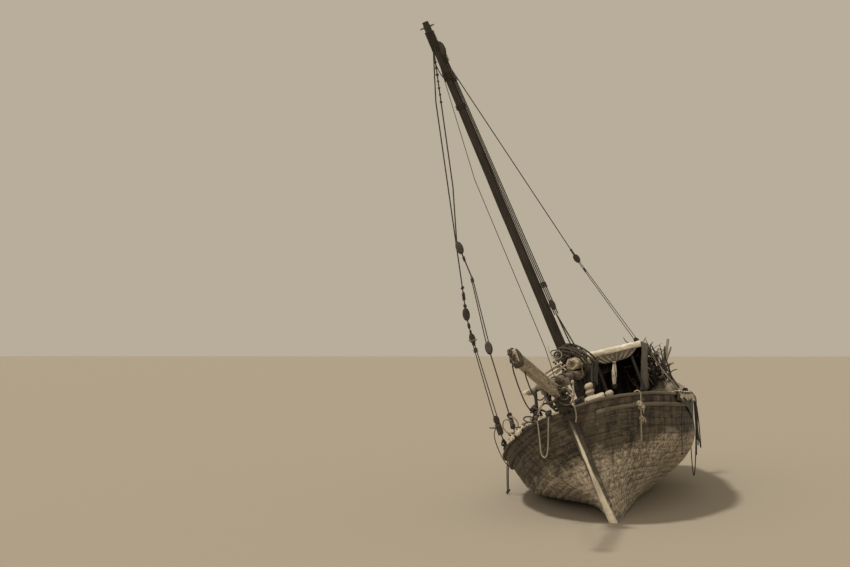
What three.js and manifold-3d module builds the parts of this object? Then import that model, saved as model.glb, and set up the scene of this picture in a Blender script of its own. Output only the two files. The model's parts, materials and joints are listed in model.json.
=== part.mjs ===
// A small wooden dhow, listing to starboard in the shallows: planked hull with a raked stem, a
// bowsprit board, a square stern with a hung rudder, a forward-raking mast with its stays, the
// lateen yard and furled sail lowered along the deck, and a low awning over the hold.
import * as THREE from 'three';
import { mergeVertices } from 'three/addons/utils/BufferGeometryUtils.js';
import Module from 'manifold-3d';

const wasm = await Module();
wasm.setup();

// Boat axes, in millimetres: x forward from amidships, y to port, z up from the keel's foot.
const heel = THREE.MathUtils.degToRad(20.5);
const draft = 600;
const gap = 0.3;

// Hull sections, each port half: a straight flared topside runs from the rail down to the bilge,
// and one curve from there to the keel. The curve's controls are a point on the topside's line
// carried on down to the turn height, and a point beside the deadwood.
// x at the rail, rail y, rail z, bilge y, bilge z, turn z, deadwood y, deadwood z
const sections = [
  [-6000, 1150, 2750, 1000, 2050, 1620, 90, 1700],
  [-4000, 1600, 2400, 1480, 1650, 950, 120, 1000],
  [-2000, 1900, 2220, 1770, 1500, 640, 150, 700],
  [0, 2000, 2180, 1870, 1500, 620, 150, 660],
  [1500, 1980, 2240, 1830, 1620, 950, 140, 900],
  [3000, 1750, 2400, 1560, 1780, 1150, 120, 1000],
  [4200, 1350, 2600, 1150, 1950, 1400, 100, 1150],
  [5000, 850, 2750, 720, 2060, 1600, 90, 1200],
  [5350, 450, 2810, 380, 2110, 1680, 80, 1250],
  [5507, 70, 2840, 70, 2110, 1700, 70, 1300],
];
const bottomSteps = 10;
const keelHalf = 80;
const keelDepth = 250;
const sternX = -6000;
const bowX = 5507;
const curvedFromX = 3000;
// Every piece along the hull has its rings at these frames, so that neighbours keep one shape.
const frames = [
  ...Array.from({ length: 22 }, (_, i) => sternX + 500 * i), 4750, 5000, 5125, 5250, 5350, 5440, bowX,
];

// Outer edge of the stem, from the keel's end up to its head: x, z
const stemEdge = [[4500, 0], [4800, 150], [4950, 600], [5350, 1800], [5700, 2900], [5770, 3120]];
const stemDepth = 180;
const stemHalf = 80;

const deckDrop = 600;
const deckThickness = 40;
const bulwarkThickness = 60;
const railThickness = 50;
const railOverhang = 45;
const railWidth = 170;
const raisedDrop = 320;
const foredeckX = [2500, 5250];
const poopX = [-5999, -3000];

const rubbingDrop = 190;
const rubbingHeight = 70;
const rubbingProud = 55;

const rudderAxisX = -6245;
const stockRadius = 50;
const bladeThickness = 80;
const pinRadius = 20;
const eyeHole = 24;
const eyeRadius = 60;
const eyeHeight = 80;
const sternpostBackX = -6180;
const transomThickness = 70;
const postToTransom = 2;
// height of each rudder iron's foot, and how far forward its straps reach
const rudderIrons = [
  ['rudder_iron_lower', 420, -6001],
  ['rudder_iron_middle', 1180, -6001],
  ['rudder_iron_upper', 2280, -6073],
];

const mastFoot = [900, -50, 1500];
const mastTop = [3325, -151, 11100];
const mastRadii = [122, 68];

// The yard lies along the deck: x, y, z, radius
const yardLine = [
  [5000, -410, 3360, 56], [4200, -240, 3375, 66], [3300, -60, 3385, 78], [2300, 70, 3365, 86],
  [1400, 170, 3350, 90], [0, 330, 3330, 92], [-2500, 480, 3320, 86], [-5000, 560, 3300, 66],
];
const sailEnds = [2400, -4500];
const sailRadius = 140;
const sailSideStep = 25;
const sailSink = 8;
// A second, shorter spar lies to starboard of the yard's fore part.
const spareSparLine = [[5300, -560, 3312, 46], [4200, -420, 3362, 54], [2750, -230, 3380, 50]];
// name, x, how much further the arms reach to starboard
const crutches = [['yard_crutch_fore', 3600, 290], ['yard_crutch_aft', -4300, 0]];

// The awning lies over the furled sail, slopes down to port, and hangs plumb on both sides.
const awningX = [-3060, 1080];
const awningOuterY = 1500;
const awningOuterZ = 3570;
const awningClear = 16;
const awningSag = 50;
const awningThickness = 12;
const awningFlap = 600;
const awningWall = 1050;
const awningFrames = [['awning_frame_fore', 1000], ['awning_frame_aft', -2900]];
const awningPostY = 950;
const poleRadius = 40;

const materials = {
  weatheredPlank: new THREE.MeshStandardMaterial({ color: 0x5d5145, roughness: 0.9 }),
  bleachedWood: new THREE.MeshStandardMaterial({ color: 0xa8997f, roughness: 0.85 }),
  spar: new THREE.MeshStandardMaterial({ color: 0x4d4237, roughness: 0.8 }),
  iron: new THREE.MeshStandardMaterial({ color: 0x2c2723, roughness: 0.8, metalness: 0.6 }),
  canvas: new THREE.MeshStandardMaterial({ color: 0xd3c6aa, roughness: 0.95 }),
  rope: new THREE.MeshStandardMaterial({ color: 0x6f614c, roughness: 0.95 }),
  darkRope: new THREE.MeshStandardMaterial({ color: 0x332c25, roughness: 0.95 }),
};

const boat = new THREE.Group();
boat.rotation.x = heel;
boat.position.z = -draft;
const dhow = new THREE.Group();
dhow.add(boat);

function add(name, geometry, material) {
  const mesh = new THREE.Mesh(geometry, materials[material]);
  mesh.name = name;
  boat.add(mesh);
}

// Cutting and joining.
function toSolid(geometry) {
  const bare = geometry.clone();
  bare.deleteAttribute('normal');
  bare.deleteAttribute('uv');
  const merged = mergeVertices(bare, 1e-3);
  return new wasm.Manifold(new wasm.Mesh({
    numProp: 3,
    vertProperties: new Float32Array(merged.attributes.position.array),
    triVerts: new Uint32Array(merged.index.array),
  }));
}

function toGeometry(solid) {
  const mesh = solid.getMesh();
  const geometry = new THREE.BufferGeometry();
  geometry.setAttribute('position', new THREE.BufferAttribute(mesh.vertProperties, 3));
  geometry.setIndex(new THREE.BufferAttribute(mesh.triVerts, 1));
  geometry.computeVertexNormals();
  return geometry;
}

function join(...geometries) {
  return toGeometry(geometries.map(toSolid).reduce((a, b) => a.add(b)));
}

function cut(geometry, ...tools) {
  return toGeometry(tools.map(toSolid).reduce((a, b) => a.subtract(b), toSolid(geometry)));
}

// Cuts a piece to sit on a neighbour, a hair's gap away in the given direction.
function seated(geometry, neighbour, [x, y, z] = [0, 0, gap]) {
  return cut(geometry, neighbour.clone().translate(x, y, z));
}

// Cuts a piece a hair clear of a neighbour all round.
function clearOf(geometry, neighbour) {
  const ways = [[0, 0, gap], [0, 0, -gap], [0, gap, 0], [0, -gap, 0], [gap, 0, 0], [-gap, 0, 0]];
  return cut(geometry, ...ways.map(([x, y, z]) => neighbour.clone().translate(x, y, z)));
}

// A closed skin over rings of points. Each ring has an even number of points, the first half
// along one side and the second half back along the other, so its end closes as a ladder.
function loft(rings) {
  const count = rings[0].length;
  const triangles = [];
  for (let r = 0; r < rings.length - 1; r++) {
    for (let i = 0; i < count; i++) {
      const a = r * count + i;
      const b = r * count + (i + 1) % count;
      triangles.push(a, b, b + count, a, b + count, a + count);
    }
  }
  const last = (rings.length - 1) * count;
  for (let i = 0; i < count / 2 - 1; i++) {
    const j = count - 1 - i;
    triangles.push(i, j, j - 1, i, j - 1, i + 1);
    triangles.push(last + i, last + j - 1, last + j, last + i, last + i + 1, last + j - 1);
  }
  const geometry = new THREE.BufferGeometry();
  geometry.setAttribute('position', new THREE.Float32BufferAttribute(rings.flat(2), 3));
  geometry.setIndex(triangles);
  if (volumeOf(geometry) < 0) geometry.setIndex(triangles.reverse());
  geometry.computeVertexNormals();
  return geometry;
}

function volumeOf(geometry) {
  const position = geometry.attributes.position;
  const corners = [0, 1, 2].map(() => new THREE.Vector3());
  let sum = 0;
  for (let i = 0; i < geometry.index.count; i += 3) {
    corners.forEach((corner, k) => corner.fromBufferAttribute(position, geometry.index.getX(i + k)));
    sum += corners[0].dot(corners[1].clone().cross(corners[2])) / 6;
  }
  return sum;
}

function box(size, centre) {
  return new THREE.BoxGeometry(...size).translate(...centre);
}

// A round spar from a to b.
function spar(a, b, radiusA, radiusB, sides = 12) {
  const start = new THREE.Vector3(...a);
  const end = new THREE.Vector3(...b);
  const along = end.clone().sub(start);
  const turn = new THREE.Quaternion().setFromUnitVectors(
    new THREE.Vector3(0, 1, 0), along.clone().normalize());
  const middle = start.clone().add(end).multiplyScalar(0.5);
  return new THREE.CylinderGeometry(radiusB, radiusA, along.length(), sides)
    .applyQuaternion(turn)
    .translate(middle.x, middle.y, middle.z);
}

function polygon(radius, sides) {
  const shape = new THREE.Shape();
  for (let i = 0; i < sides; i++) {
    const angle = 2 * Math.PI * i / sides;
    if (i) shape.lineTo(radius * Math.cos(angle), radius * Math.sin(angle));
    else shape.moveTo(radius, 0);
  }
  shape.closePath();
  return shape;
}

// A round rope along a smooth curve through the points.
function rope(points, radius, steps, sides = 8) {
  const path = new THREE.CatmullRomCurve3(points.map((p) => new THREE.Vector3(...p)));
  return new THREE.ExtrudeGeometry(polygon(radius, sides), { steps, extrudePath: path });
}

// Straight rope stretches from point to point, joined at rounded corners.
function stretches(points, radius, sides = 6) {
  const pieces = [];
  for (let i = 0; i < points.length - 1; i++) {
    pieces.push(spar(points[i], points[i + 1], radius, radius, sides));
    if (i) pieces.push(new THREE.IcosahedronGeometry(radius * 1.25, 0).translate(...points[i]));
  }
  return pieces;
}

function outline(points) {
  const shape = new THREE.Shape();
  points.forEach(([u, v], i) => (i ? shape.lineTo(u, v) : shape.moveTo(u, v)));
  shape.closePath();
  return shape;
}

// A plate standing fore and aft: the shape is drawn in x and z and centred on y.
function sidePlate(shape, thickness, y = 0) {
  const geometry = new THREE.ExtrudeGeometry(shape, { depth: thickness, bevelEnabled: false });
  geometry.rotateX(Math.PI / 2);
  return geometry.translate(0, y + thickness / 2, 0);
}

// A plate standing across the boat: the shape is drawn in y and z, its forward face at x.
function crossPlate(shape, thickness, x) {
  const geometry = new THREE.ExtrudeGeometry(shape, { depth: thickness, bevelEnabled: false });
  geometry.applyMatrix4(new THREE.Matrix4().makeBasis(
    new THREE.Vector3(0, 1, 0), new THREE.Vector3(0, 0, 1), new THREE.Vector3(1, 0, 0)));
  return geometry.translate(x - thickness, 0, 0);
}

// The hull's shape. Each frame's values lie on smooth curves through the sections.
function fairSection(x) {
  const last = sections.length - 1;
  let i = 0;
  while (i < last - 1 && sections[i + 1][0] < x) i++;
  const slope = (k, column) => {
    const before = sections[Math.max(k - 1, 0)];
    const after = sections[Math.min(k + 1, last)];
    return (after[column] - before[column]) / (after[0] - before[0]);
  };
  const length = sections[i + 1][0] - sections[i][0];
  const t = (x - sections[i][0]) / length;
  return sections[i].map((value, column) => {
    if (column === 0) return x;
    const next = sections[i + 1][column];
    return (2 * t ** 3 - 3 * t ** 2 + 1) * value + (3 * t ** 2 - 2 * t ** 3) * next
      + (t ** 3 - 2 * t ** 2 + t) * length * slope(i, column)
      + (t ** 3 - t ** 2) * length * slope(i + 1, column);
  });
}

const fairFrames = frames.map(fairSection);

// Planks run straight from frame to frame.
function sectionAt(x) {
  let i = 0;
  while (i < frames.length - 2 && frames[i + 1] < x) i++;
  const t = (x - frames[i]) / (frames[i + 1] - frames[i]);
  return fairFrames[i].map((value, column) => value + (fairFrames[i + 1][column] - value) * t);
}

function stemX(z) {
  let i = 0;
  while (i < stemEdge.length - 2 && stemEdge[i + 1][1] < z) i++;
  const [x0, z0] = stemEdge[i];
  const [x1, z1] = stemEdge[i + 1];
  return x0 + (x1 - x0) * (z - z0) / (z1 - z0);
}

// Forward sections bend to meet the raked stem, so a point's own x depends on its height.
function trueX(x, z) {
  if (x <= curvedFromX) return x;
  const reach = (stemX(z) - stemDepth - curvedFromX) / (bowX - curvedFromX);
  return curvedFromX + (x - curvedFromX) * reach;
}

const railZ = (x) => sectionAt(x)[2];
const deckZ = (x) => railZ(x) - deckDrop;

// Half-breadth of the flared topside at a height.
function topsideY(x, z) {
  const [, yRail, zRail, yBilge, zBilge] = sectionAt(x);
  return yBilge + (yRail - yBilge) * (z - zBilge) / (zRail - zBilge);
}

// The section's points from the keel out to the bilge.
function bottomPoints(x) {
  const [, , , yBilge, zBilge, zTurn, yDeadwood, zDeadwood] = sectionAt(x);
  const curve = new THREE.CubicBezierCurve(
    new THREE.Vector2(keelHalf, keelDepth), new THREE.Vector2(yDeadwood, zDeadwood),
    new THREE.Vector2(topsideY(x, zTurn), zTurn), new THREE.Vector2(yBilge, zBilge));
  return curve.getPoints(bottomSteps).map((p) => [Math.max(p.x, stemHalf - 10), p.y]);
}

// Rings of a piece that follows the hull along x. corners(x) gives [y, z] pairs.
function along(from, to, corners) {
  const between = frames.filter((x) => x > from + 1 && x < to - 1);
  return [from, ...between, to].map((x) => corners(x).map(([y, z]) => [trueX(x, z), y, z]));
}

function mirrorY(geometry) {
  const copy = geometry.clone().scale(1, -1, 1);
  const turned = Array.from(copy.index.array).reverse();
  copy.setIndex(turned);
  copy.computeVertexNormals();
  return copy;
}

function mirrored(half) {
  return [...half, ...half.map(([y, z]) => [-y, z]).reverse()];
}

const innerY = (x, z) => Math.max(topsideY(x, z) - bulwarkThickness, 10);

function hull() {
  const rings = along(sternX, bowX, (x) => {
    const z = deckZ(x);
    return mirrored([...bottomPoints(x), [topsideY(x, z), z]]);
  });
  add('hull_planking', loft(rings), 'weatheredPlank');
  const keelShape = outline([
    [sternpostBackX, 0], [stemEdge[0][0], 0], [stemEdge[0][0], keelDepth - gap],
    [sternpostBackX, keelDepth - gap],
  ]);
  add('keel', sidePlate(keelShape, 2 * keelHalf), 'weatheredPlank');
}

function stemPost() {
  const foot = stemEdge[0][0] + gap;
  const hullHeights = [...bottomPoints(bowX).map(([, z]) => z), deckZ(bowX), railZ(bowX)];
  const insideHeights = [...hullHeights, stemEdge.at(-1)[1]].reverse();
  const inside = insideHeights.map((z) => [stemX(z) - stemDepth + gap, z]);
  const outside = stemEdge.slice(1);
  const shape = outline([[foot, 0], ...outside, ...inside, [foot, keelDepth]]);
  return sidePlate(shape, 2 * stemHalf);
}

const stemTimber = stemPost();

// The transom has the hull's last section above the deadwood, under an arched top.
const transomSide = bottomPoints(sternX).filter(([, z]) => z > 1300);
const transomFootZ = transomSide[0][1];

function sternpost() {
  const back = sternpostBackX;
  const hullFace = sternX - gap;
  const transomFace = sternX - gap - transomThickness - postToTransom;
  const shoulder = transomFootZ - gap;
  const head = 2560;
  const shape = outline([
    [back, keelDepth], [hullFace, keelDepth], [hullFace, shoulder], [transomFace, shoulder],
    [transomFace, head], [back, head],
  ]);
  add('sternpost', sidePlate(shape, 2 * keelHalf), 'weatheredPlank');
}

function transom() {
  const [, yRail, zRail] = sectionAt(sternX);
  const crown = 130;
  const shape = new THREE.Shape();
  shape.moveTo(-transomSide[0][0], transomFootZ);
  transomSide.forEach(([y, z]) => shape.lineTo(y, z));
  shape.lineTo(yRail, zRail);
  shape.quadraticCurveTo(0, zRail + 2 * crown, -yRail, zRail);
  transomSide.slice(1).reverse().forEach(([y, z]) => shape.lineTo(-y, z));
  shape.closePath();
  add('transom', crossPlate(shape, transomThickness, sternX - gap), 'weatheredPlank');
}

// The rail cap ends short of the bowsprit board to starboard.
function rail(end) {
  return loft(along(sternX, end, (x) => {
    const high = railZ(x);
    const low = high - railThickness;
    const outer = topsideY(x, high) + railOverhang;
    const inner = Math.max(outer - railWidth, 15);
    return [[outer, low], [outer, high], [inner, high], [inner, low]];
  }));
}

const railPort = rail(5440);
const railStarboard = mirrorY(rail(5350));

function bulwarks() {
  const skin = along(sternX, bowX, (x) => {
    const low = deckZ(x) + gap;
    const high = railZ(x) - railThickness - gap;
    return [
      [topsideY(x, low), low], [topsideY(x, high), high],
      [innerY(x, high), high], [innerY(x, low), low],
    ];
  });
  const clearance = (rings) => loft(rings.map((ring) => ring.map(([x, y, z]) => [x, y + gap, z])));
  const strake = along(sternX, 5350, (x) => {
    const high = railZ(x) - rubbingDrop;
    const low = high - rubbingHeight;
    const inside = (z) => topsideY(x, z) - 20;
    const outside = (z) => topsideY(x, z) + rubbingProud;
    return [[inside(low), low], [outside(low), low], [outside(high), high], [inside(high), high]];
  });
  const port = [
    ['bulwark', loft(skin)],
    ['rubbing_strake', cut(loft(strake), clearance(skin))],
  ];
  for (const [name, geometry] of port) {
    add(`${name}_port`, geometry, 'weatheredPlank');
    add(`${name}_starboard`, mirrorY(geometry), 'weatheredPlank');
  }

  add('rail_port', railPort, 'weatheredPlank');
  add('rail_starboard', railStarboard, 'weatheredPlank');
}

// A deck between the bulwarks, from a foot height up to a top height.
function deckBlock(from, to, top) {
  const clear = 6;
  const rings = along(from, to, (x) => {
    const low = deckZ(x) + gap;
    const high = top(x);
    const middle = (low + high) / 2;
    const half = [low, middle, high].map((z) => [Math.max(innerY(x, z) - clear, 30), z]);
    return mirrored(half);
  });
  return loft(rings);
}

const raised = (x) => railZ(x) - raisedDrop;
const foredeck = deckBlock(foredeckX[0], foredeckX[1], raised);
const poopDeck = deckBlock(poopX[0], poopX[1], raised);
const mainDeck = deckBlock(poopX[1] + gap, foredeckX[0] - gap, (x) => deckZ(x) + deckThickness);

function decks() {
  add('main_deck', mainDeck, 'weatheredPlank');
  add('foredeck', foredeck, 'weatheredPlank');
  add('poop_deck', poopDeck, 'weatheredPlank');
}

function hatch() {
  const from = -2500;
  const to = 500;
  const halfWidth = 700;
  const height = 200;
  const lid = 45;
  const lidOverhang = 40;
  const band = (half, low, high) => (x) => {
    const z = deckZ(x) + deckThickness;
    return [[-half, z + low], [half, z + low], [half, z + high], [-half, z + high]];
  };
  add('hatch_coaming', loft(along(from, to, band(halfWidth, gap, height))), 'weatheredPlank');
  const boards = band(halfWidth + lidOverhang, height + gap, height + lid);
  add('hatch_boards', loft(along(from - lidOverhang, to + lidOverhang, boards)), 'bleachedWood');
}

function rudder() {
  const head = 3060;
  const blade = outline([
    [rudderAxisX, 70], [-7050, 40], [-7090, 120], [-6900, 900], [-6560, 1900], [-6420, 2900],
    [-6420, head], [rudderAxisX, head],
  ]);
  const stock = spar([rudderAxisX, 0, 70], [rudderAxisX, 0, head], stockRadius, stockRadius, 16);
  const notches = rudderIrons.map(([, z]) => spar(
    [rudderAxisX, 0, z - 30], [rudderAxisX, 0, z + eyeHeight + 0.5], 75, 75, 16));
  const pins = rudderIrons.map(([, z]) => spar(
    [rudderAxisX, 0, z - 31], [rudderAxisX, 0, z + eyeHeight + 2], pinRadius, pinRadius, 10));
  const body = cut(join(sidePlate(blade, bladeThickness), stock), ...notches);
  add('rudder', join(body, ...pins), 'weatheredPlank');

  for (const [name, z, reach] of rudderIrons) {
    const middle = z + eyeHeight / 2;
    const eye = spar([rudderAxisX, 0, z], [rudderAxisX, 0, z + eyeHeight], eyeRadius, eyeRadius, 16);
    const hole = spar([rudderAxisX, 0, z - 5], [rudderAxisX, 0, z + eyeHeight + 5], eyeHole, eyeHole, 16);
    const strapHalf = keelHalf + 15;
    const backLength = sternpostBackX - gap - rudderAxisX;
    const back = box(
      [backLength, 2 * strapHalf, eyeHeight], [rudderAxisX + backLength / 2, 0, middle]);
    const strapLength = reach - rudderAxisX - 30;
    const straps = box(
      [strapLength, 2 * strapHalf, eyeHeight], [rudderAxisX + 30 + strapLength / 2, 0, middle]);
    const post = box(
      [400, 2 * (keelHalf + gap), eyeHeight + 20], [sternpostBackX - gap + 200, 0, middle]);
    add(name, cut(join(eye, cut(join(back, straps), post)), hole), 'iron');
  }

  const tillerZ = 2985;
  const tiller = loft([[-6215, 55], [-5400, 45], [-4650, 30]].map(([x, half]) => [
    [x, -half, tillerZ - half], [x, -half, tillerZ + half],
    [x, half, tillerZ + half], [x, half, tillerZ - half],
  ]));
  add('tiller', clearOf(tiller, stock), 'spar');
}

function bowTimbers() {
  const depthRoot = 240;
  const depthTip = 205;
  const innerFace = -(stemHalf + gap);
  const thickness = 110;
  const ends = [[5290, 2945, depthRoot], [5500, 3003, depthRoot], [8600, 3865, depthTip]];
  const board = loft(ends.map(([x, z, depth]) => [
    [x, innerFace, z - depth / 2], [x, innerFace, z + depth / 2],
    [x, innerFace - thickness, z + depth / 2], [x, innerFace - thickness, z - depth / 2],
  ]));
  add('bowsprit_board', board, 'bleachedWood');

  const tip = [8480, innerFace - thickness / 2, 3832];
  const capHalf = [95, thickness / 2 + 22, depthTip / 2 + 26];
  const capSlope = 0.27;
  const cap = loft([-1, 1].map((end) => {
    const x = tip[0] + end * capHalf[0];
    const z = tip[2] + end * capHalf[0] * capSlope;
    return [[-1, -1], [-1, 1], [1, 1], [1, -1]].map(([a, b]) => [
      x, tip[1] + a * capHalf[1], z + b * capHalf[2]]);
  }));
  const hollow = loft([-1.5, 1.5].map((end) => {
    const x = tip[0] + end * capHalf[0];
    const z = tip[2] + end * capHalf[0] * capSlope;
    return [[-1, -1], [-1, 1], [1, 1], [1, -1]].map(([a, b]) => [
      x, tip[1] + a * (thickness / 2 + 1), z + b * (depthTip / 2 + 6)]);
  }));
  add('bowsprit_band', cut(cap, hollow), 'iron');

  const beamX = 5190;
  const beamRadius = 68;
  const beamZ = railZ(beamX + 60) + beamRadius - 6;
  const beam = spar(
    [beamX, -600, beamZ], [beamX, 760, beamZ], beamRadius + 4, beamRadius - 8, 10);
  add('bow_crossbeam', seated(seated(beam, railPort), railStarboard), 'bleachedWood');

  // x, y, top z, radius
  const posts = [
    ['bollard_fore', 4880, 430, 3120, 85],
    ['bollard_port', 4680, 730, 2930, 80],
    ['bollard_starboard', 4680, -730, 2930, 80],
  ];
  for (const [name, x, y, top, radius] of posts) {
    const low = raised(x) - 10;
    const profile = [
      [0, low], [radius * 0.9, low], [radius * 0.9, top - 270], [radius, top - 250],
      [radius, top - 200], [radius * 0.72, top - 180], [radius * 0.72, top - 130], [radius, top - 110],
      [radius * 0.95, top - 40], [radius * 0.6, top], [0, top],
    ].map(([r, z]) => new THREE.Vector2(r, z));
    const post = new THREE.LatheGeometry(profile, 12).rotateX(Math.PI / 2).translate(x, y, 0);
    add(name, seated(post, foredeck), 'spar');
  }
}

// The mast's middle line at a height.
function mastAt(z) {
  const t = (z - mastFoot[2]) / (mastTop[2] - mastFoot[2]);
  return mastFoot.map((value, i) => value + (mastTop[i] - value) * t);
}

const mastSeatZ = deckZ(900) + deckThickness + 60;
const mastSides = 14;
const mastRadiusAt = (z) => (
  mastRadii[0] + (mastRadii[1] - mastRadii[0]) * (z - mastSeatZ) / (mastTop[2] - mastSeatZ));

// A stretch of the mast, grown by the gap.
function mastClearance(low, high) {
  return spar(mastAt(low), mastAt(high), mastRadiusAt(low) + gap, mastRadiusAt(high) + gap, mastSides);
}

const collarZ = [10480, 10900];
const collarRadii = [112, 104];
const mastheadClearance = [
  mastClearance(3000, mastTop[2] + 100),
  spar(mastAt(collarZ[0] - gap), mastAt(collarZ[1] + gap), ...collarRadii.map((r) => r + gap), 12),
];

function mast() {
  add('mast', spar(mastAt(mastSeatZ), mastTop, ...mastRadii, mastSides), 'spar');
  const socket = mastClearance(mastSeatZ - gap, mastSeatZ + 500);
  const stepEndX = 1210;
  const step = box([520, 420, 140], [stepEndX - 260, -50, deckZ(stepEndX) + deckThickness + 70 + gap]);
  add('mast_step', cut(step, socket), 'weatheredPlank');

  const beamZ = 2050;
  const mastAtBeam = mastAt(beamZ);
  const beamWidth = 180;
  const beamDepth = 140;
  const beamX = mastAtBeam[0] - mastRadii[0] - beamWidth / 2 + 20;
  const half = innerY(beamX, beamZ - beamDepth / 2) - 4;
  const beam = box([beamWidth, 2 * half, beamDepth], [beamX, 0, beamZ]);
  add('mast_thwart', cut(beam, mastClearance(mastSeatZ, 2600)), 'weatheredPlank');

  const collar = spar(mastAt(collarZ[0]), mastAt(collarZ[1]), ...collarRadii, 12);
  add('masthead_collar', cut(collar, mastheadClearance[0]), 'darkRope');
}

// Where the yard's middle lies at x, and its radius there.
function yardAt(x) {
  let i = 0;
  while (i < yardLine.length - 2 && yardLine[i + 1][0] > x) i++;
  const t = (x - yardLine[i][0]) / (yardLine[i + 1][0] - yardLine[i][0]);
  return yardLine[i].map((value, column) => value + (yardLine[i + 1][column] - value) * t);
}

// A round ring standing across the boat.
function ring(x, y, z, radius, sides = 12) {
  return Array.from({ length: sides }, (_, i) => {
    const angle = 2 * Math.PI * (i + 0.5) / sides;
    return [x, y + radius * Math.cos(angle), z + radius * Math.sin(angle)];
  });
}

// A round spar along a line of x, y, z, radius, grown all round.
function sparAlong(line, grown = 0) {
  return loft(line.map(([x, y, z, radius]) => ring(x, y, z, radius + grown)));
}

// The furled sail's middle line at x.
function rollAt(x) {
  const [, y, z, radius] = yardAt(x);
  return [y + sailSideStep, z + radius + sailRadius - sailSink];
}

function rollOfSail(radius) {
  const inside = yardLine.filter(([x]) => x < sailEnds[0] && x > sailEnds[1]);
  const stations = [sailEnds[0], ...inside.map(([x]) => x), sailEnds[1]];
  return loft(stations.map((x) => ring(x, ...rollAt(x), radius)));
}

function yard() {
  add('yard', sparAlong(yardLine), 'spar');
  add('spare_spar', sparAlong(spareSparLine), 'bleachedWood');

  const seat = sparAlong(yardLine, 1);
  add('furled_sail', cut(rollOfSail(sailRadius), seat), 'canvas');

  const postSize = [110, 130];
  const armSize = [90, 150];
  const armMargin = 75;
  for (const [name, x, reach] of crutches) {
    const [, y, z, radius] = yardAt(x);
    const foot = raised(x) - 20;
    const top = z - radius * 0.2;
    const postTop = top - 40;
    const post = box([...postSize, postTop - foot], [x, y - reach / 2, (postTop + foot) / 2]);
    const width = 2 * (radius + armMargin) + reach;
    const arms = box([armSize[0], width, armSize[1]], [x, y - reach / 2, top - armSize[1] / 2]);
    const deck = x > 0 ? foredeck : poopDeck;
    const notched = cut(join(post, arms), seat, sparAlong(spareSparLine, 1));
    add(name, seated(notched, deck), 'weatheredPlank');
  }
}

// The point a length plumb below another, in boat axes.
function plumbBelow([y, z], length) {
  return [y - length * Math.sin(heel), z - length * Math.cos(heel)];
}

// The roof's height at y, from the crown over the furled sail down to the outer edge.
function roofZ(x, y) {
  const [yRoll, zRoll] = rollAt(x);
  const crownZ = zRoll + sailRadius + awningClear;
  return crownZ + (awningOuterZ - crownZ) * (y - yRoll) / (awningOuterY - yRoll);
}

// The awning's line across the boat, from the starboard flap's foot to the port wall's foot.
function awningLine(x, proud) {
  const roofSteps = 4;
  const middle = (awningFrames[0][1] + awningFrames[1][1]) / 2;
  const half = awningFrames[0][1] - middle;
  const sag = awningSag * Math.max(1 - ((x - middle) / half) ** 2, 0);
  const [yRoll, zRoll] = rollAt(x);
  const reach = sailRadius + awningClear + proud;
  const flapHead = [yRoll - reach, zRoll];
  const outer = awningOuterY + proud;
  const roof = [];
  for (let i = 0; i <= roofSteps; i++) {
    const t = i / roofSteps;
    const y = yRoll + (outer - yRoll) * t;
    roof.push([y, roofZ(x, y) + proud - sag * Math.sin(Math.PI * t)]);
  }
  return [
    plumbBelow(flapHead, awningFlap), flapHead,
    [yRoll - reach * Math.SQRT1_2, zRoll + reach * Math.SQRT1_2],
    ...roof, plumbBelow(roof.at(-1), awningWall),
  ];
}

function awning() {
  const clearOfRoll = [rollOfSail(sailRadius + awningClear), sparAlong(yardLine, awningClear)];
  const stations = [awningX[1], 1000, 600, 0, -900, -1800, -2500, -2900, awningX[0]];
  const sheet = loft(stations.map((x) => [
    ...awningLine(x, awningThickness).map(([y, z]) => [x, y, z]),
    ...awningLine(x, 0).map(([y, z]) => [x, y, z]).reverse(),
  ]));
  const afterCurtain = crossPlate(
    outline(awningLine(awningX[0], awningThickness / 2)), awningThickness,
    awningX[0] + awningThickness);
  // The fore edge hangs down a hand's breadth and is gathered to a knot.
  const foreLine = awningLine(awningX[1], awningThickness / 2);
  const gathered = [[1440, 3440], [1120, 3430], [890, 3330], [800, 3330], [560, 3490], [330, 3600]];
  const valance = crossPlate(
    outline([...foreLine.slice(3, -1), ...gathered]), awningThickness, awningX[1]);
  const cloth = join(sheet, cut(afterCurtain, ...clearOfRoll), cut(valance, ...clearOfRoll));
  add('awning', cloth, 'canvas');

  for (const [name, x] of awningFrames) {
    const barZ = (y) => roofZ(x, y) - poleRadius;
    const [rollY] = rollAt(x);
    const barEnds = [rollY + sailRadius + 20, awningOuterY - 60];
    const bar = spar(
      ...barEnds.map((y) => [x, y, barZ(y)]), poleRadius, poleRadius, 8);
    const foot = deckZ(x) + deckThickness - 10;
    const posts = [rollY + sailRadius + 60, awningPostY].map((y) => (
      spar([x, y, foot], [x, y, barZ(y)], poleRadius, poleRadius, 8)));
    const frame = seated(join(bar, ...posts), mainDeck);
    add(name, seated(frame, cloth, [0, 0, -gap]), 'spar');
  }
}

// A pulley block between two points of a line.
function block(points, t, length, radius) {
  const [a, b] = points.map((p) => new THREE.Vector3(...p));
  const middle = a.clone().lerp(b, t);
  const half = b.clone().sub(a).setLength(length / 2);
  const top = middle.clone().sub(half).toArray();
  const bottom = middle.clone().add(half).toArray();
  return join(
    spar(top, middle.toArray(), radius * 0.6, radius, 8),
    spar(middle.toArray(), bottom, radius, radius * 0.6, 8));
}

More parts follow.
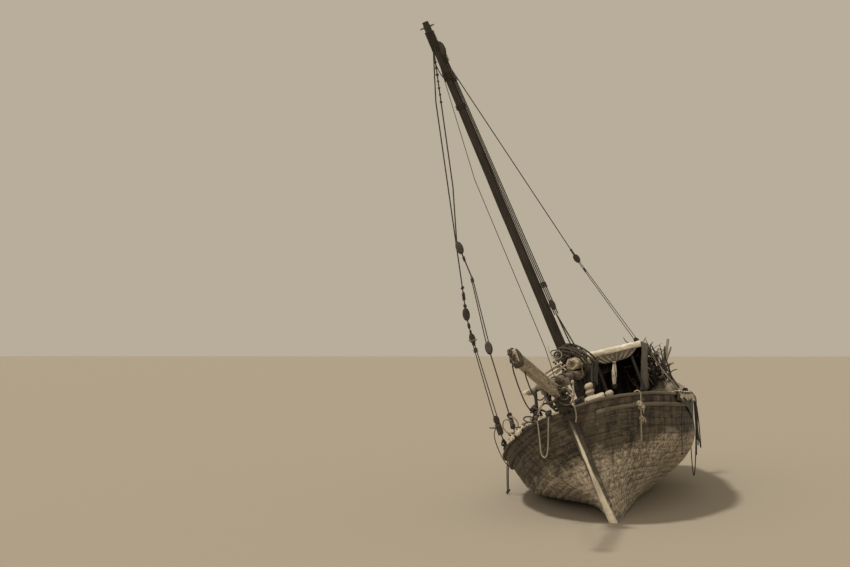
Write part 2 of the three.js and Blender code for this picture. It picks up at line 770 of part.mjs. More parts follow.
// Standing and running rigging: name, rope radius, points from the masthead down, and the blocks
// on it as [stretch, place along the stretch, length, radius].
const rigging = [
  ['shroud_starboard_aft', 17, [[3223, -147, 10700], [2980, -560, 9570], [1920, -1690, 5300],
    [1780, -1770, 4700], [1330, -1960, 2950], [1020, -2022, 2260]],
  [[1, 0.99, 330, 75], [2, 0.55, 240, 60], [3, 0.92, 150, 95], [4, 0.6, 560, 105]]],
  ['shroud_starboard_fore', 17, [[3230, -147, 10740], [3330, -800, 7720], [3420, -1100, 6660],
    [3500, -1060, 5870], [3900, -1180, 4350], [4460, -1180, 2735]],
  [[2, 0.2, 300, 72], [3, 0.96, 280, 66], [4, 0.9, 260, 70]]],
  ['backstay_port', 13, [[3215, -146, 10670], [-1730, 720, 5930], [-3580, 1280, 3630],
    [-4480, 1455, 2520]],
  [[0, 0.985, 300, 62], [1, 0.2, 240, 52], [2, 0.85, 160, 60]]],
  ['forestay', 9, [[3240, -149, 10760], [4120, -250, 7520], [5330, 0, 3960], [5690, 0, 3124]], []],
];

function standingRigging() {
  for (const [name, radius, points, blocks] of rigging) {
    const shapes = blocks.map(([i, t, length, blockRadius]) => (
      block([points[i], points[i + 1]], t, length, blockRadius)));
    const line = cut(join(...stretches(points, radius), ...shapes), ...mastheadClearance);
    const offRails = [railPort, railStarboard, stemTimber].reduce(clearOf, line);
    add(name, offRails, 'darkRope');
  }
}

function halyard() {
  const head = [3205, -55, 10640];
  const lowerBlock = [1790, 92, 4700];
  const ends = [[1600, 150, 3718], [1500, 235, 3718]];
  const spread = 20;
  const fallRadius = 19;
  const falls = ends.map((end, i) => {
    const side = i ? spread : -spread;
    return stretches([
      [head[0], head[1] + side, head[2]], [lowerBlock[0], lowerBlock[1] + side, lowerBlock[2]], end,
    ], fallRadius);
  });
  const blocks = [
    block([head, lowerBlock], 0.995, 330, 80), block([head, lowerBlock], 0.04, 300, 75),
  ];
  add('halyard', cut(join(...falls.flat(), ...blocks), ...mastheadClearance), 'darkRope');
}

function grapnel() {
  const crown = new THREE.Vector3(4840, -560, 2960);
  const foot = new THREE.Vector3(4330, -560, 2320);
  const axis = crown.clone().sub(foot).normalize();
  const side = new THREE.Vector3(0, 1, 0).cross(axis).normalize();
  const across = axis.clone().cross(side);
  const armReach = 270;
  const shank = spar(foot.toArray(), crown.toArray(), 24, 28, 8);
  const arms = [45, 135, 225, 315].map((degrees) => {
    const angle = THREE.MathUtils.degToRad(degrees);
    const out = side.clone().multiplyScalar(Math.cos(angle)).addScaledVector(across, Math.sin(angle));
    const bend = [[0, 0], [0.5, 0.08], [0.86, -0.3], [1, -0.85]].map(([outward, back]) => (
      crown.clone().addScaledVector(out, outward * armReach)
        .addScaledVector(axis, back * armReach * 0.8).toArray()));
    return join(...stretches(bend, 20));
  });
  const head = new THREE.IcosahedronGeometry(44, 1).translate(...crown.toArray());
  add('grapnel_anchor', seated(join(shank, head, ...arms), foredeck), 'iron');
}

// Spare poles leaning outboard over the port quarter, all crossing at one lashing:
// foot x, y, z, length beyond the lashing as a share of the length below it, radius
const poleLashing = [-4050, 1620, 2880];
const sparePoles = [
  [-3300, 1150, 2040, 0.75, 42],
  [-4450, 1250, 2100, 0.62, 34],
  [-3700, 900, 2040, 0.5, 30],
  [-3150, 1430, 2860, 1.3, 28],
];

// Ropes that hang free, in level axes with z up from the water: name, material, the piece that
// carries the rope, radius, steps, and points from one end to the other
const hangingRopes = [
  ['cord_bow_slack_upper', 'darkRope', 'bowsprit_board', 12, 40, [
    [8050, -1390, 2726], [7920, -1385, 2630], [7780, -1380, 2560], [7640, -1375, 2490],
    [7490, -1370, 2430], [7350, -1365, 2375], [7200, -1360, 2330], [7040, -1350, 2290],
    [6890, -1345, 2260], [6730, -1340, 2240], [6580, -1335, 2230], [6420, -1330, 2230],
    [6260, -1325, 2240], [6110, -1320, 2255], [5950, -1315, 2285], [5800, -1310, 2320]]],
  ['cord_bow_slack_lower', 'darkRope', 'bowsprit_band', 12, 56, [
    [8520, -1516, 2823], [8320, -1522, 2712], [8120, -1518, 2610], [7920, -1515, 2510],
    [7710, -1512, 2420], [7500, -1508, 2330], [7290, -1505, 2250], [7070, -1502, 2180],
    [6850, -1498, 2120], [6630, -1494, 2070], [6410, -1490, 2022], [6180, -1487, 1982],
    [5960, -1483, 1950], [5730, -1480, 1930], [5510, -1476, 1915], [5285, -1473, 1908]]],
  ['cord_bow_bight', 'rope', 'bow_crossbeam', 15, 25, [
    [5420, -1324, 1883], [5420, -1326, 1790], [5420, -1328, 1690], [5418, -1330, 1580],
    [5414, -1333, 1470], [5408, -1338, 1370], [5398, -1347, 1280], [5380, -1368, 1205],
    [5352, -1405, 1168], [5325, -1447, 1192], [5308, -1474, 1262], [5298, -1485, 1350],
    [5292, -1496, 1450], [5288, -1507, 1560], [5284, -1520, 1670], [5278, -1532, 1750],
    [5276, -1544, 1813]]],
  ['cord_port_bight', 'darkRope', 'rail_port', 13, 80, [
    [300, 1010, 2127], [300, 1095, 2174], [300, 1150, 2192], [300, 1182, 2168], [300, 1202, 2110],
    [300, 1218, 1985], [300, 1230, 1910], [295, 1241, 1780], [240, 1252, 1640], [160, 1256, 1500],
    [60, 1254, 1330], [-80, 1250, 1060], [-260, 1244, 800], [-470, 1234, 570], [-720, 1220, 390],
    [-1010, 1205, 290],
    [-1310, 1192, 290], [-1600, 1178, 410], [-1850, 1165, 590], [-2050, 1152, 830],
    [-2220, 1140, 1080], [-2370, 1125, 1360], [-2490, 1095, 1640], [-2570, 1062, 1850],
    [-2600, 1040, 2000], [-2600, 1020, 2120], [-2600, 985, 2176], [-2600, 935, 2192],
    [-2600, 843, 2146]]],
  ['cord_port_loop_outer', 'darkRope', 'rail_port', 13, 56, [
    [100, 1010, 2116], [100, 1102, 2166], [100, 1166, 2184], [100, 1206, 2140], [98, 1240, 2060],
    [95, 1262, 1960], [85, 1285, 1820], [75, 1305, 1650], [65, 1322, 1480], [50, 1335, 1310],
    [25, 1345, 1160], [-30, 1352, 1050], [-110, 1355, 985], [-200, 1350, 985], [-285, 1340, 1050],
    [-340, 1322, 1160], [-365, 1302, 1310], [-380, 1285, 1480], [-390, 1270, 1650],
    [-395, 1255, 1820], [-400, 1240, 1960], [-400, 1215, 2075], [-400, 1180, 2150],
    [-400, 1130, 2178], [-400, 1070, 2160], [-400, 985, 2114]]],
  ['cord_port_loop_inner', 'darkRope', 'rail_port', 13, 58, [
    [620, 1010, 2131], [620, 1104, 2180], [620, 1170, 2192], [620, 1202, 2140], [620, 1222, 1985],
    [618, 1235, 1900], [615, 1247, 1740], [612, 1256, 1560], [608, 1258, 1380], [602, 1258, 1200],
    [590, 1258, 1040], [560, 1258, 910], [505, 1258, 842], [450, 1258, 905], [415, 1258, 1040],
    [400, 1258, 1200], [392, 1258, 1380], [387, 1256, 1560], [384, 1248, 1740], [382, 1238, 1900],
    [380, 1224, 1985], [380, 1202, 2140], [380, 1170, 2188], [380, 1104, 2178], [380, 1010, 2138]]],
  ['cord_starboard_tail_fore', 'darkRope', 'rail_starboard', 13, 12, [
    [1120, -2692, 730], [1122, -2703, 680], [1124, -2709, 630], [1125, -2711, 580],
    [1125, -2712, 530], [1124, -2713, 480], [1122, -2714, 430], [1120, -2714, 380],
    [1118, -2714, 330], [1117, -2713, 280], [1116, -2712, 230], [1116, -2711, 180],
    [1117, -2710, 130], [1118, -2709, 85], [1120, -2708, 45]]],
  ['cord_starboard_tail_aft', 'darkRope', 'rail_starboard', 13, 12, [
    [900, -2692, 727], [898, -2704, 680], [896, -2711, 630], [894, -2714, 580], [892, -2716, 530],
    [891, -2718, 480], [890, -2719, 430], [890, -2720, 380], [891, -2720, 330], [892, -2719, 280],
    [894, -2718, 230], [896, -2716, 180], [898, -2714, 135], [900, -2712, 95], [902, -2710, 60]]],
  ['cord_port_fender', 'rope', 'rail_port', 14, 24, [
    [4550, 137, 2316], [4550, 190, 2346], [4550, 238, 2332], [4550, 252, 2260], [4550, 255, 2180],
    [4550, 256, 2110], [4552, 258, 2040], [4555, 258, 1960], [4560, 257, 1880], [4568, 256, 1810],
    [4580, 256, 1730], [4594, 257, 1640], [4602, 258, 1560], [4600, 259, 1490], [4585, 260, 1435],
    [4550, 260, 1410], [4515, 260, 1435], [4500, 259, 1490], [4498, 258, 1560], [4503, 257, 1640],
    [4512, 256, 1710], [4522, 256, 1770]]],
];

function hungRopes() {
  boat.updateMatrix();
  const intoBoat = boat.matrix.clone().invert();
  for (const [name, material, carrier, radius, steps, points] of hangingRopes) {
    const line = rope(points, radius, steps).applyMatrix4(intoBoat);
    add(name, clearOf(line, boat.getObjectByName(carrier).geometry), material);
  }
}

// A cloth laid over the port rail.
function railCloth() {
  const [from, to] = [850, 2800];
  const clear = 0.5;
  const thickness = 10;
  const hang = (proud, x) => {
    const high = railZ(x);
    const outer = topsideY(x, high) + railOverhang + clear + proud;
    const inner = outer - railWidth - 2 * (clear + proud);
    const top = high + clear + proud;
    return [[inner, high - 70], [inner, top], [outer, top], [outer, high - 165]];
  };
  const cloth = loft(along(from, to, (x) => [...hang(thickness, x), ...hang(0, x).reverse()]));
  add('rail_cloth', cloth, 'canvas');
}

function spareSpars() {
  const lashing = new THREE.Vector3(...poleLashing);
  const poles = sparePoles.map(([x, y, z, share, radius]) => {
    const foot = new THREE.Vector3(x, y, z);
    const tip = lashing.clone().add(lashing.clone().sub(foot).multiplyScalar(share));
    return spar(foot.toArray(), tip.toArray(), radius, radius * 0.8, 8);
  });
  const lashed = [poopDeck, railPort].reduce(clearOf, join(...poles));
  add('spare_poles', lashed, 'bleachedWood');
}

decks();
hull();
add('stem_post', stemTimber, 'bleachedWood');
sternpost();
transom();
bulwarks();
hatch();
rudder();
bowTimbers();
mast();
yard();
awning();
standingRigging();
halyard();
grapnel();
spareSpars();
hungRopes();
railCloth();

export default dhow;
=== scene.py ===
# The looks of a small wooden dhow that lists to starboard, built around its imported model.
import json
import math
import random

import bpy
from mathutils import Matrix, Vector, noise


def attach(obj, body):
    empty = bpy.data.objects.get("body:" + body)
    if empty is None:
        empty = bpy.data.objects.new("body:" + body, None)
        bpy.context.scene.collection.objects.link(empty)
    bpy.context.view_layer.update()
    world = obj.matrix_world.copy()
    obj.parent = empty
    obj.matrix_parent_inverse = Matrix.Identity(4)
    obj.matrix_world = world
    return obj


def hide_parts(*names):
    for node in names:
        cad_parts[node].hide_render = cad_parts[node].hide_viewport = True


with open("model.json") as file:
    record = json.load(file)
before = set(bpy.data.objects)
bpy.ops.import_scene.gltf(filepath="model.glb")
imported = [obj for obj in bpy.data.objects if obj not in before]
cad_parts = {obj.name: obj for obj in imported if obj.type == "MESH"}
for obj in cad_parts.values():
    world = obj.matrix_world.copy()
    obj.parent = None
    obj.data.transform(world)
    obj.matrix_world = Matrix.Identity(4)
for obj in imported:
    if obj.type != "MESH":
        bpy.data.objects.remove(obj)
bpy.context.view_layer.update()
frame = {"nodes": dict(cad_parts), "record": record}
print("frame loaded:", len(frame["nodes"]), "nodes")

# Boat axes: x forward, y to port, z up from the keel's foot. toRow heels and floats them.
floating = {"heelDegrees": 20.5, "draft": 0.6}
heelAngle = math.radians(floating["heelDegrees"])
toRow = Matrix.Translation((0, 0, -floating["draft"])) @ Matrix.Rotation(heelAngle, 4, "X")
level = Matrix.Identity(4)

# Camera, floor and light
view = {
    "place": (26.376, 1.067, 3.0), "yaw": 0.21751, "pitchDegrees": 3.433,
    "lens": 49.93, "sensor": 36.0,
}
stage = {
    "floorSize": 3000.0, "floorColour": (0.33, 0.285, 0.225, 1), "skyColour": (0.60, 0.53, 0.41, 1),
    "skyStrength": 0.8, "sunStrength": 2.3, "sunSoftness": 6.0, "sunFrom": (0.30, -0.75, 1.75),
    "fillStrength": 1.3, "fillSoftness": 70.0, "fillFrom": (1.0, -0.15, 0.16),
}


def setStage():
    cameraData = bpy.data.cameras.new("photoCamera")
    camera = bpy.data.objects.new("photoCamera", cameraData)
    bpy.context.scene.collection.objects.link(camera)
    camera.location = view["place"]
    pitch = math.radians(view["pitchDegrees"])
    ahead = Vector((-math.cos(view["yaw"]) * math.cos(pitch), -math.sin(view["yaw"]) * math.cos(pitch),
                    math.sin(pitch)))
    camera.rotation_euler = ahead.to_track_quat("-Z", "Y").to_euler()
    cameraData.sensor_width = view["sensor"]
    cameraData.lens = view["lens"]
    cameraData.clip_end = 3000
    bpy.context.scene.camera = camera

    deselectAll()
    bpy.ops.mesh.primitive_plane_add(size=stage["floorSize"], location=(0, 0, 0))
    floor = bpy.context.object
    floor.name = "floor"
    floorMaterial = bpy.data.materials.new("floorPaint")
    floorMaterial.use_nodes = True
    shader = floorMaterial.node_tree.nodes["Principled BSDF"]
    shader.inputs["Base Color"].default_value = stage["floorColour"]
    shader.inputs["Roughness"].default_value = 0.9
    floor.data.materials.append(floorMaterial)

    world = bpy.data.worlds.new("studio")
    world.use_nodes = True
    world.node_tree.nodes["Background"].inputs["Color"].default_value = stage["skyColour"]
    world.node_tree.nodes["Background"].inputs["Strength"].default_value = stage["skyStrength"]
    bpy.context.scene.world = world
    for name in ("sun", "fill"):
        light = bpy.data.objects.new(name + "Light", bpy.data.lights.new(name + "Light", "SUN"))
        light.data.energy = stage[name + "Strength"]
        light.data.angle = math.radians(stage[name + "Softness"])
        light.data.color = (1.0, 0.95, 0.86)
        light.rotation_euler = Vector(stage[name + "From"]).to_track_quat("Z", "Y").to_euler()
        bpy.context.scene.collection.objects.link(light)
    bpy.context.scene.view_settings.view_transform = "Standard"


def deselectAll():
    if bpy.context.object and bpy.context.object.mode != "OBJECT":
        bpy.ops.object.mode_set(mode="OBJECT")
    bpy.ops.object.select_all(action="DESELECT")


def makeActive(piece):
    deselectAll()
    piece.select_set(True)
    bpy.context.view_layer.objects.active = piece


setStage()
print("stage set")


# Shared shader effects
def addNode(tree, kind, values=None, **settings):
    made = tree.nodes.new("ShaderNode" + kind)
    for name, value in settings.items():
        setattr(made, name, value)
    for key, value in (values or {}).items():
        if isinstance(value, bpy.types.NodeSocket):
            tree.links.new(value, made.inputs[key])
        else:
            made.inputs[key].default_value = value
    return made


def mathNode(tree, operation, first, second=0.0, clamp=False):
    return addNode(tree, "Math", {0: first, 1: second}, operation=operation, use_clamp=clamp).outputs[0]


def scaled(tree, vector, scale):
    return addNode(tree, "Mapping", {"Vector": vector, "Scale": scale}).outputs[0]


def between(tree, value, low, high, newLow=0.0, newHigh=1.0):
    values = {"Value": value, "From Min": low, "From Max": high, "To Min": newLow, "To Max": newHigh}
    return addNode(tree, "MapRange", values).outputs[0]


def mixColour(tree, share, first, second, blend="MIX"):
    mix = addNode(tree, "Mix", data_type="RGBA", blend_type=blend)
    for index, value in ((0, share), (6, first), (7, second)):
        if isinstance(value, bpy.types.NodeSocket):
            tree.links.new(value, mix.inputs[index])
        else:
            mix.inputs[index].default_value = value
    return mix.outputs[2]


def effectGroup(name, inputs, outputs):
    tree = bpy.data.node_groups.new(name, "ShaderNodeTree")
    for label, kind, value in inputs:
        socket = tree.interface.new_socket(name=label, in_out="INPUT", socket_type="NodeSocket" + kind)
        if value is not None:
            socket.default_value = value
    for label, kind in outputs:
        tree.interface.new_socket(name=label, in_out="OUTPUT", socket_type="NodeSocket" + kind)
    entry = tree.nodes.new("NodeGroupInput")
    leave = tree.nodes.new("NodeGroupOutput")
    return tree, entry.outputs, leave.inputs


def woodGrainGroup():
    # Grain runs along the vector's x. Fine fibres, long cracks and broad tone.
    tree, given, result = effectGroup(
        "woodGrain",
        [("Vector", "Vector", None), ("Fineness", "Float", 1.0)],
        [("Fibre", "Float"), ("Crack", "Float"), ("Tone", "Float")],
    )
    sized = addNode(tree, "VectorMath", {0: given["Vector"], 3: given["Fineness"]}, operation="SCALE").outputs[0]
    fibre = addNode(tree, "TexNoise", {"Vector": scaled(tree, sized, (3, 70, 70)), "Scale": 1.0, "Detail": 6.0})
    crack = addNode(tree, "TexNoise", {"Vector": scaled(tree, sized, (1.6, 38, 38)), "Scale": 1.0, "Detail": 3.0,
                                       "Distortion": 0.6})
    tone = addNode(tree, "TexNoise", {"Vector": scaled(tree, sized, (0.8, 2.4, 2.4)), "Scale": 1.0, "Detail": 4.0})
    tree.links.new(fibre.outputs[0], result["Fibre"])
    tree.links.new(between(tree, crack.outputs[0], 0.62, 0.70), result["Crack"])
    tree.links.new(tone.outputs[0], result["Tone"])
    return tree


def plankLayoutGroup():
    # Planks lie along the vector's x, side by side in its y, with nails in pairs at every frame.
    tree, given, result = effectGroup(
        "plankLayout",
        [("Vector", "Vector", None), ("Width", "Float", 0.16), ("Length", "Float", 3.2), ("Seam", "Float", 0.006),
         ("Nail Spacing", "Float", 0.42), ("Nail Size", "Float", 0.011)],
        [("Seam", "Float"), ("Tone", "Float"), ("Nail", "Float"), ("Weep", "Float")],
    )
    bricks = addNode(tree, "TexBrick", {
        "Vector": given["Vector"], "Color1": (0, 0, 0, 1), "Color2": (1, 1, 1, 1), "Mortar": (0.5, 0.5, 0.5, 1),
        "Scale": 1.0, "Mortar Size": given["Seam"], "Mortar Smooth": 0.35, "Bias": 0.0,
        "Brick Width": given["Length"], "Row Height": given["Width"],
    }, offset=0.37, offset_frequency=3)
    tree.links.new(bricks.outputs["Fac"], result["Seam"])
    toneValue = addNode(tree, "SeparateColor", {0: bricks.outputs["Color"]}).outputs[0]
    tree.links.new(toneValue, result["Tone"])
    parts = addNode(tree, "SeparateXYZ", {0: given["Vector"]})
    column = mathNode(tree, "DIVIDE", parts.outputs[0], given["Nail Spacing"])
    row = mathNode(tree, "DIVIDE", parts.outputs[1], given["Width"])
    inColumn = mathNode(tree, "SUBTRACT", mathNode(tree, "FRACT", column), 0.5)
    alongNail = mathNode(tree, "MULTIPLY", inColumn, given["Nail Spacing"])
    inRow = mathNode(tree, "ABSOLUTE", mathNode(tree, "SUBTRACT", mathNode(tree, "FRACT", row), 0.5))
    offCentre = mathNode(tree, "SUBTRACT", inRow, 0.27)
    acrossNail = mathNode(tree, "MULTIPLY", offCentre, given["Width"])
    squared = mathNode(tree, "ADD", mathNode(tree, "MULTIPLY", alongNail, alongNail),
                       mathNode(tree, "MULTIPLY", acrossNail, acrossNail))
    distance = mathNode(tree, "SQRT", squared)
    head = addNode(tree, "MapRange", {
        "Value": distance, "From Min": given["Nail Size"], "From Max": mathNode(tree, "MULTIPLY", given["Nail Size"], 0.6),
        "To Min": 0.0, "To Max": 1.0})
    tree.links.new(head.outputs[0], result["Nail"])
    weep = addNode(tree, "MapRange", {
        "Value": mathNode(tree, "ABSOLUTE", alongNail), "From Min": mathNode(tree, "MULTIPLY", given["Nail Size"], 2.6),
        "From Max": 0.0, "To Min": 0.0, "To Max": 1.0})
    tree.links.new(weep.outputs[0], result["Weep"])
    return tree


def stainGroup():
    # Blotches, dribbles that run down the vector's y, and salt.
    tree, given, result = effectGroup(
        "stain",
        [("Vector", "Vector", None)],
        [("Blotch", "Float"), ("Dribble", "Float"), ("Speck", "Float")],
    )
    blotch = addNode(tree, "TexNoise", {"Vector": scaled(tree, given["Vector"], (1.3, 2.2, 2.2)), "Scale": 1.0,
                                        "Detail": 8.0, "Roughness": 0.62})
    dribble = addNode(tree, "TexNoise", {"Vector": scaled(tree, given["Vector"], (11, 0.9, 0.9)), "Scale": 1.0,
                                         "Detail": 5.0})
    speck = addNode(tree, "TexNoise", {"Vector": given["Vector"], "Scale": 42.0, "Detail": 3.0})
    tree.links.new(blotch.outputs[0], result["Blotch"])
    tree.links.new(between(tree, dribble.outputs[0], 0.45, 0.72), result["Dribble"])
    tree.links.new(between(tree, speck.outputs[0], 0.6, 0.72), result["Speck"])
    return tree


def ropeLayGroup():
    # UV x is the distance along the rope and UV y goes round it.
    tree, given, result = effectGroup(
        "ropeLay",
        [("Vector", "Vector", None), ("Turn Length", "Float", 0.1)],
        [("Strand", "Float"), ("Fuzz", "Float")],
    )
    parts = addNode(tree, "SeparateXYZ", {0: given["Vector"]})
    turns = mathNode(tree, "DIVIDE", parts.outputs[0], given["Turn Length"])
    phase = mathNode(tree, "SUBTRACT", parts.outputs[1], turns)
    wave = mathNode(tree, "COSINE", mathNode(tree, "MULTIPLY", phase, 6 * math.pi))
    tree.links.new(between(tree, wave, -1.0, 1.0), result["Strand"])
    yarns = addNode(tree, "CombineXYZ", {0: mathNode(tree, "MULTIPLY", phase, 24.0),
                                         1: mathNode(tree, "MULTIPLY", turns, 1.7)})
    fuzz = addNode(tree, "TexNoise", {"Vector": yarns.outputs[0], "Scale": 1.0, "Detail": 4.0})
    tree.links.new(fuzz.outputs[0], result["Fuzz"])
    return tree


def clothWeaveGroup():
    tree, given, result = effectGroup(
        "clothWeave",
        [("Vector", "Vector", None), ("Threads", "Float", 700.0)],
        [("Weave", "Float"), ("Soil", "Float"), ("Crease", "Float")],
    )
    sized = addNode(tree, "VectorMath", {0: given["Vector"], 3: given["Threads"]}, operation="SCALE").outputs[0]
    parts = addNode(tree, "SeparateXYZ", {0: sized})
    warp = mathNode(tree, "SINE", parts.outputs[0])
    weft = mathNode(tree, "SINE", parts.outputs[1])
    tree.links.new(between(tree, mathNode(tree, "MULTIPLY", warp, weft), -1.0, 1.0), result["Weave"])
    soil = addNode(tree, "TexNoise", {"Vector": given["Vector"], "Scale": 2.3, "Detail": 8.0, "Roughness": 0.65})
    crease = addNode(tree, "TexNoise", {"Vector": scaled(tree, given["Vector"], (5, 16, 16)), "Scale": 1.0,
                                        "Detail": 6.0, "Distortion": 0.8})
    tree.links.new(soil.outputs[0], result["Soil"])
    tree.links.new(crease.outputs[0], result["Crease"])
    return tree


def edgeWearGroup():
    # Raised edges, where hands and ropes rub.
    tree, given, result = effectGroup(
        "edgeWear",
        [("Amount", "Float", 0.6)],
        [("Edge", "Float")],
    )
    raisedness = addNode(tree, "NewGeometry").outputs["Pointiness"]
    edge = between(tree, raisedness, 0.51, 0.56)
    tree.links.new(mathNode(tree, "MULTIPLY", edge, given["Amount"]), result["Edge"])
    return tree


effects = {
    "grain": woodGrainGroup(), "planks": plankLayoutGroup(), "stain": stainGroup(),
    "lay": ropeLayGroup(), "weave": clothWeaveGroup(), "wear": edgeWearGroup(),
}


def placeEffect(tree, effect, values):
    made = tree.nodes.new("ShaderNodeGroup")
    made.node_tree = effects[effect]
    for key, value in values.items():
        if isinstance(value, bpy.types.NodeSocket):
            tree.links.new(value, made.inputs[key])
        else:
            made.inputs[key].default_value = value
    return made.outputs


def newMaterial(name, metallic=0.0):
    material = bpy.data.materials.new(name)
    material.use_nodes = True
    tree = material.node_tree
    shader = tree.nodes["Principled BSDF"]
    shader.inputs["Metallic"].default_value = metallic
    return material, tree, shader


def boatVector(tree, turn=(0, 0, 0)):
    # The object's own coordinates, turned upright into the boat's axes, then turned further.
    own = addNode(tree, "TexCoord").outputs["Object"]
    lift = Matrix.Rotation(-heelAngle, 3, "X") @ Vector((0, 0, floating["draft"]))
    upright = addNode(tree, "Mapping", {"Vector": own, "Location": lift, "Rotation": (-heelAngle, 0, 0)}).outputs[0]
    if turn == (0, 0, 0):
        return upright
    return addNode(tree, "Mapping", {"Vector": upright, "Rotation": [math.radians(a) for a in turn]}).outputs[0]


def joinHeight(tree, shader, height, strength, distance):
    bump = addNode(tree, "Bump", {"Height": height, "Strength": strength, "Distance": distance})
    tree.links.new(bump.outputs[0], shader.inputs["Normal"])


# Colours are linear: dark, mid and pale tone of each finish.
timberTones = {
    "deckPlanks": {"dark": (0.07, 0.053, 0.036, 1), "mid": (0.19, 0.15, 0.10, 1), "pale": (0.34, 0.28, 0.195, 1)},
    "bleachedTimber": {"dark": (0.08, 0.063, 0.044, 1), "mid": (0.235, 0.192, 0.137, 1), "pale": (0.60, 0.52, 0.40, 1)},
    "greyTimber": {"dark": (0.022, 0.017, 0.012, 1), "mid": (0.080, 0.063, 0.045, 1), "pale": (0.26, 0.215, 0.158, 1)},
    "sparTimber": {"dark": (0.011, 0.0085, 0.006, 1), "mid": (0.027, 0.021, 0.015, 1), "pale": (0.095, 0.076, 0.054, 1)},
    "darkTimber": {"dark": (0.014, 0.011, 0.008, 1), "mid": (0.040, 0.031, 0.022, 1), "pale": (0.13, 0.104, 0.075, 1)},
    "stickTimber": {"dark": (0.06, 0.047, 0.033, 1), "mid": (0.21, 0.17, 0.12, 1), "pale": (0.50, 0.42, 0.31, 1)},
    "sternPlanks": {"dark": (0.022, 0.017, 0.012, 1), "mid": (0.080, 0.063, 0.045, 1), "pale": (0.26, 0.215, 0.158, 1)},
    "paleStick": {"dark": (0.16, 0.127, 0.088, 1), "mid": (0.46, 0.39, 0.285, 1), "pale": (0.80, 0.71, 0.55, 1)},
}
crackColour = (0.012, 0.009, 0.007, 1)
seamColour = (0.008, 0.006, 0.005, 1)


def timber(name, vectorTurn=(0, 0, 0), plankWidth=0.0, plankLength=3.0, uvMap="", fineness=1.0, wear=0.0):
    tone = timberTones[name]
    material, tree, shader = newMaterial(name)
    vector = addNode(tree, "UVMap", uv_map=uvMap).outputs[0] if uvMap else boatVector(tree, vectorTurn)
    own = addNode(tree, "TexCoord").outputs["Object"]
    grain = placeEffect(tree, "grain", {"Vector": vector, "Fineness": fineness})
    stain = placeEffect(tree, "stain", {"Vector": own})
    base = mixColour(tree, between(tree, grain["Tone"], 0.32, 0.68), tone["dark"], tone["mid"])
    base = mixColour(tree, between(tree, grain["Fibre"], 0.42, 0.75, 0.0, 0.8), base, tone["pale"])
    base = mixColour(tree, between(tree, stain["Blotch"], 0.5, 0.72, 0.0, 0.65), base, tone["dark"])
    base = mixColour(tree, mathNode(tree, "MULTIPLY", grain["Crack"], 0.75), base, crackColour)
    height = mathNode(tree, "SUBTRACT", mathNode(tree, "MULTIPLY", grain["Fibre"], 0.35), grain["Crack"])
    if plankWidth:
        planks = placeEffect(tree, "planks", {"Vector": vector, "Width": plankWidth, "Length": plankLength})
        base = mixColour(tree, between(tree, planks["Tone"], 0.0, 1.0, 0.0, 0.45), base, tone["mid"])
        base = mixColour(tree, between(tree, planks["Weep"], 0.0, 1.0, 0.0, 0.35), base, tone["dark"])
        base = mixColour(tree, mathNode(tree, "MULTIPLY", planks["Seam"], 0.9), base, seamColour)
        base = mixColour(tree, mathNode(tree, "MULTIPLY", planks["Nail"], 0.85), base, crackColour)
        height = mathNode(tree, "SUBTRACT", height, mathNode(tree, "MULTIPLY", planks["Seam"], 2.2))
        height = mathNode(tree, "ADD", height, planks["Nail"])
    if wear:
        worn = placeEffect(tree, "wear", {"Amount": wear})
        base = mixColour(tree, worn["Edge"], base, tone["pale"])
    base = mixColour(tree, mathNode(tree, "MULTIPLY", stain["Speck"], 0.25), base, tone["pale"])
    tree.links.new(base, shader.inputs["Base Color"])
    tree.links.new(between(tree, grain["Tone"], 0.3, 0.7, 0.7, 0.95), shader.inputs["Roughness"])
    joinHeight(tree, shader, height, 0.7, 0.004)
    return material


# The hull: dark above, paler brown and mottled below, streaked all over.
hullFinish = {
    "strakeWidth": 0.14, "plankLength": 6.4, "frameSpacing": 0.42, "darkFrom": 1.45, "ragged": 1.0,
    "upperDark": (0.020, 0.0155, 0.011, 1), "upperMid": (0.072, 0.055, 0.038, 1), "upperPale": (0.22, 0.175, 0.125, 1),
    "lowerDark": (0.10, 0.081, 0.058, 1), "lowerMid": (0.35, 0.29, 0.215, 1), "lowerPale": (0.68, 0.59, 0.46, 1),
    "bowRise": 0.34, "riseFrom": 1.5, "riseTo": 5.2,
    "wet": (0.014, 0.011, 0.009, 1),
}


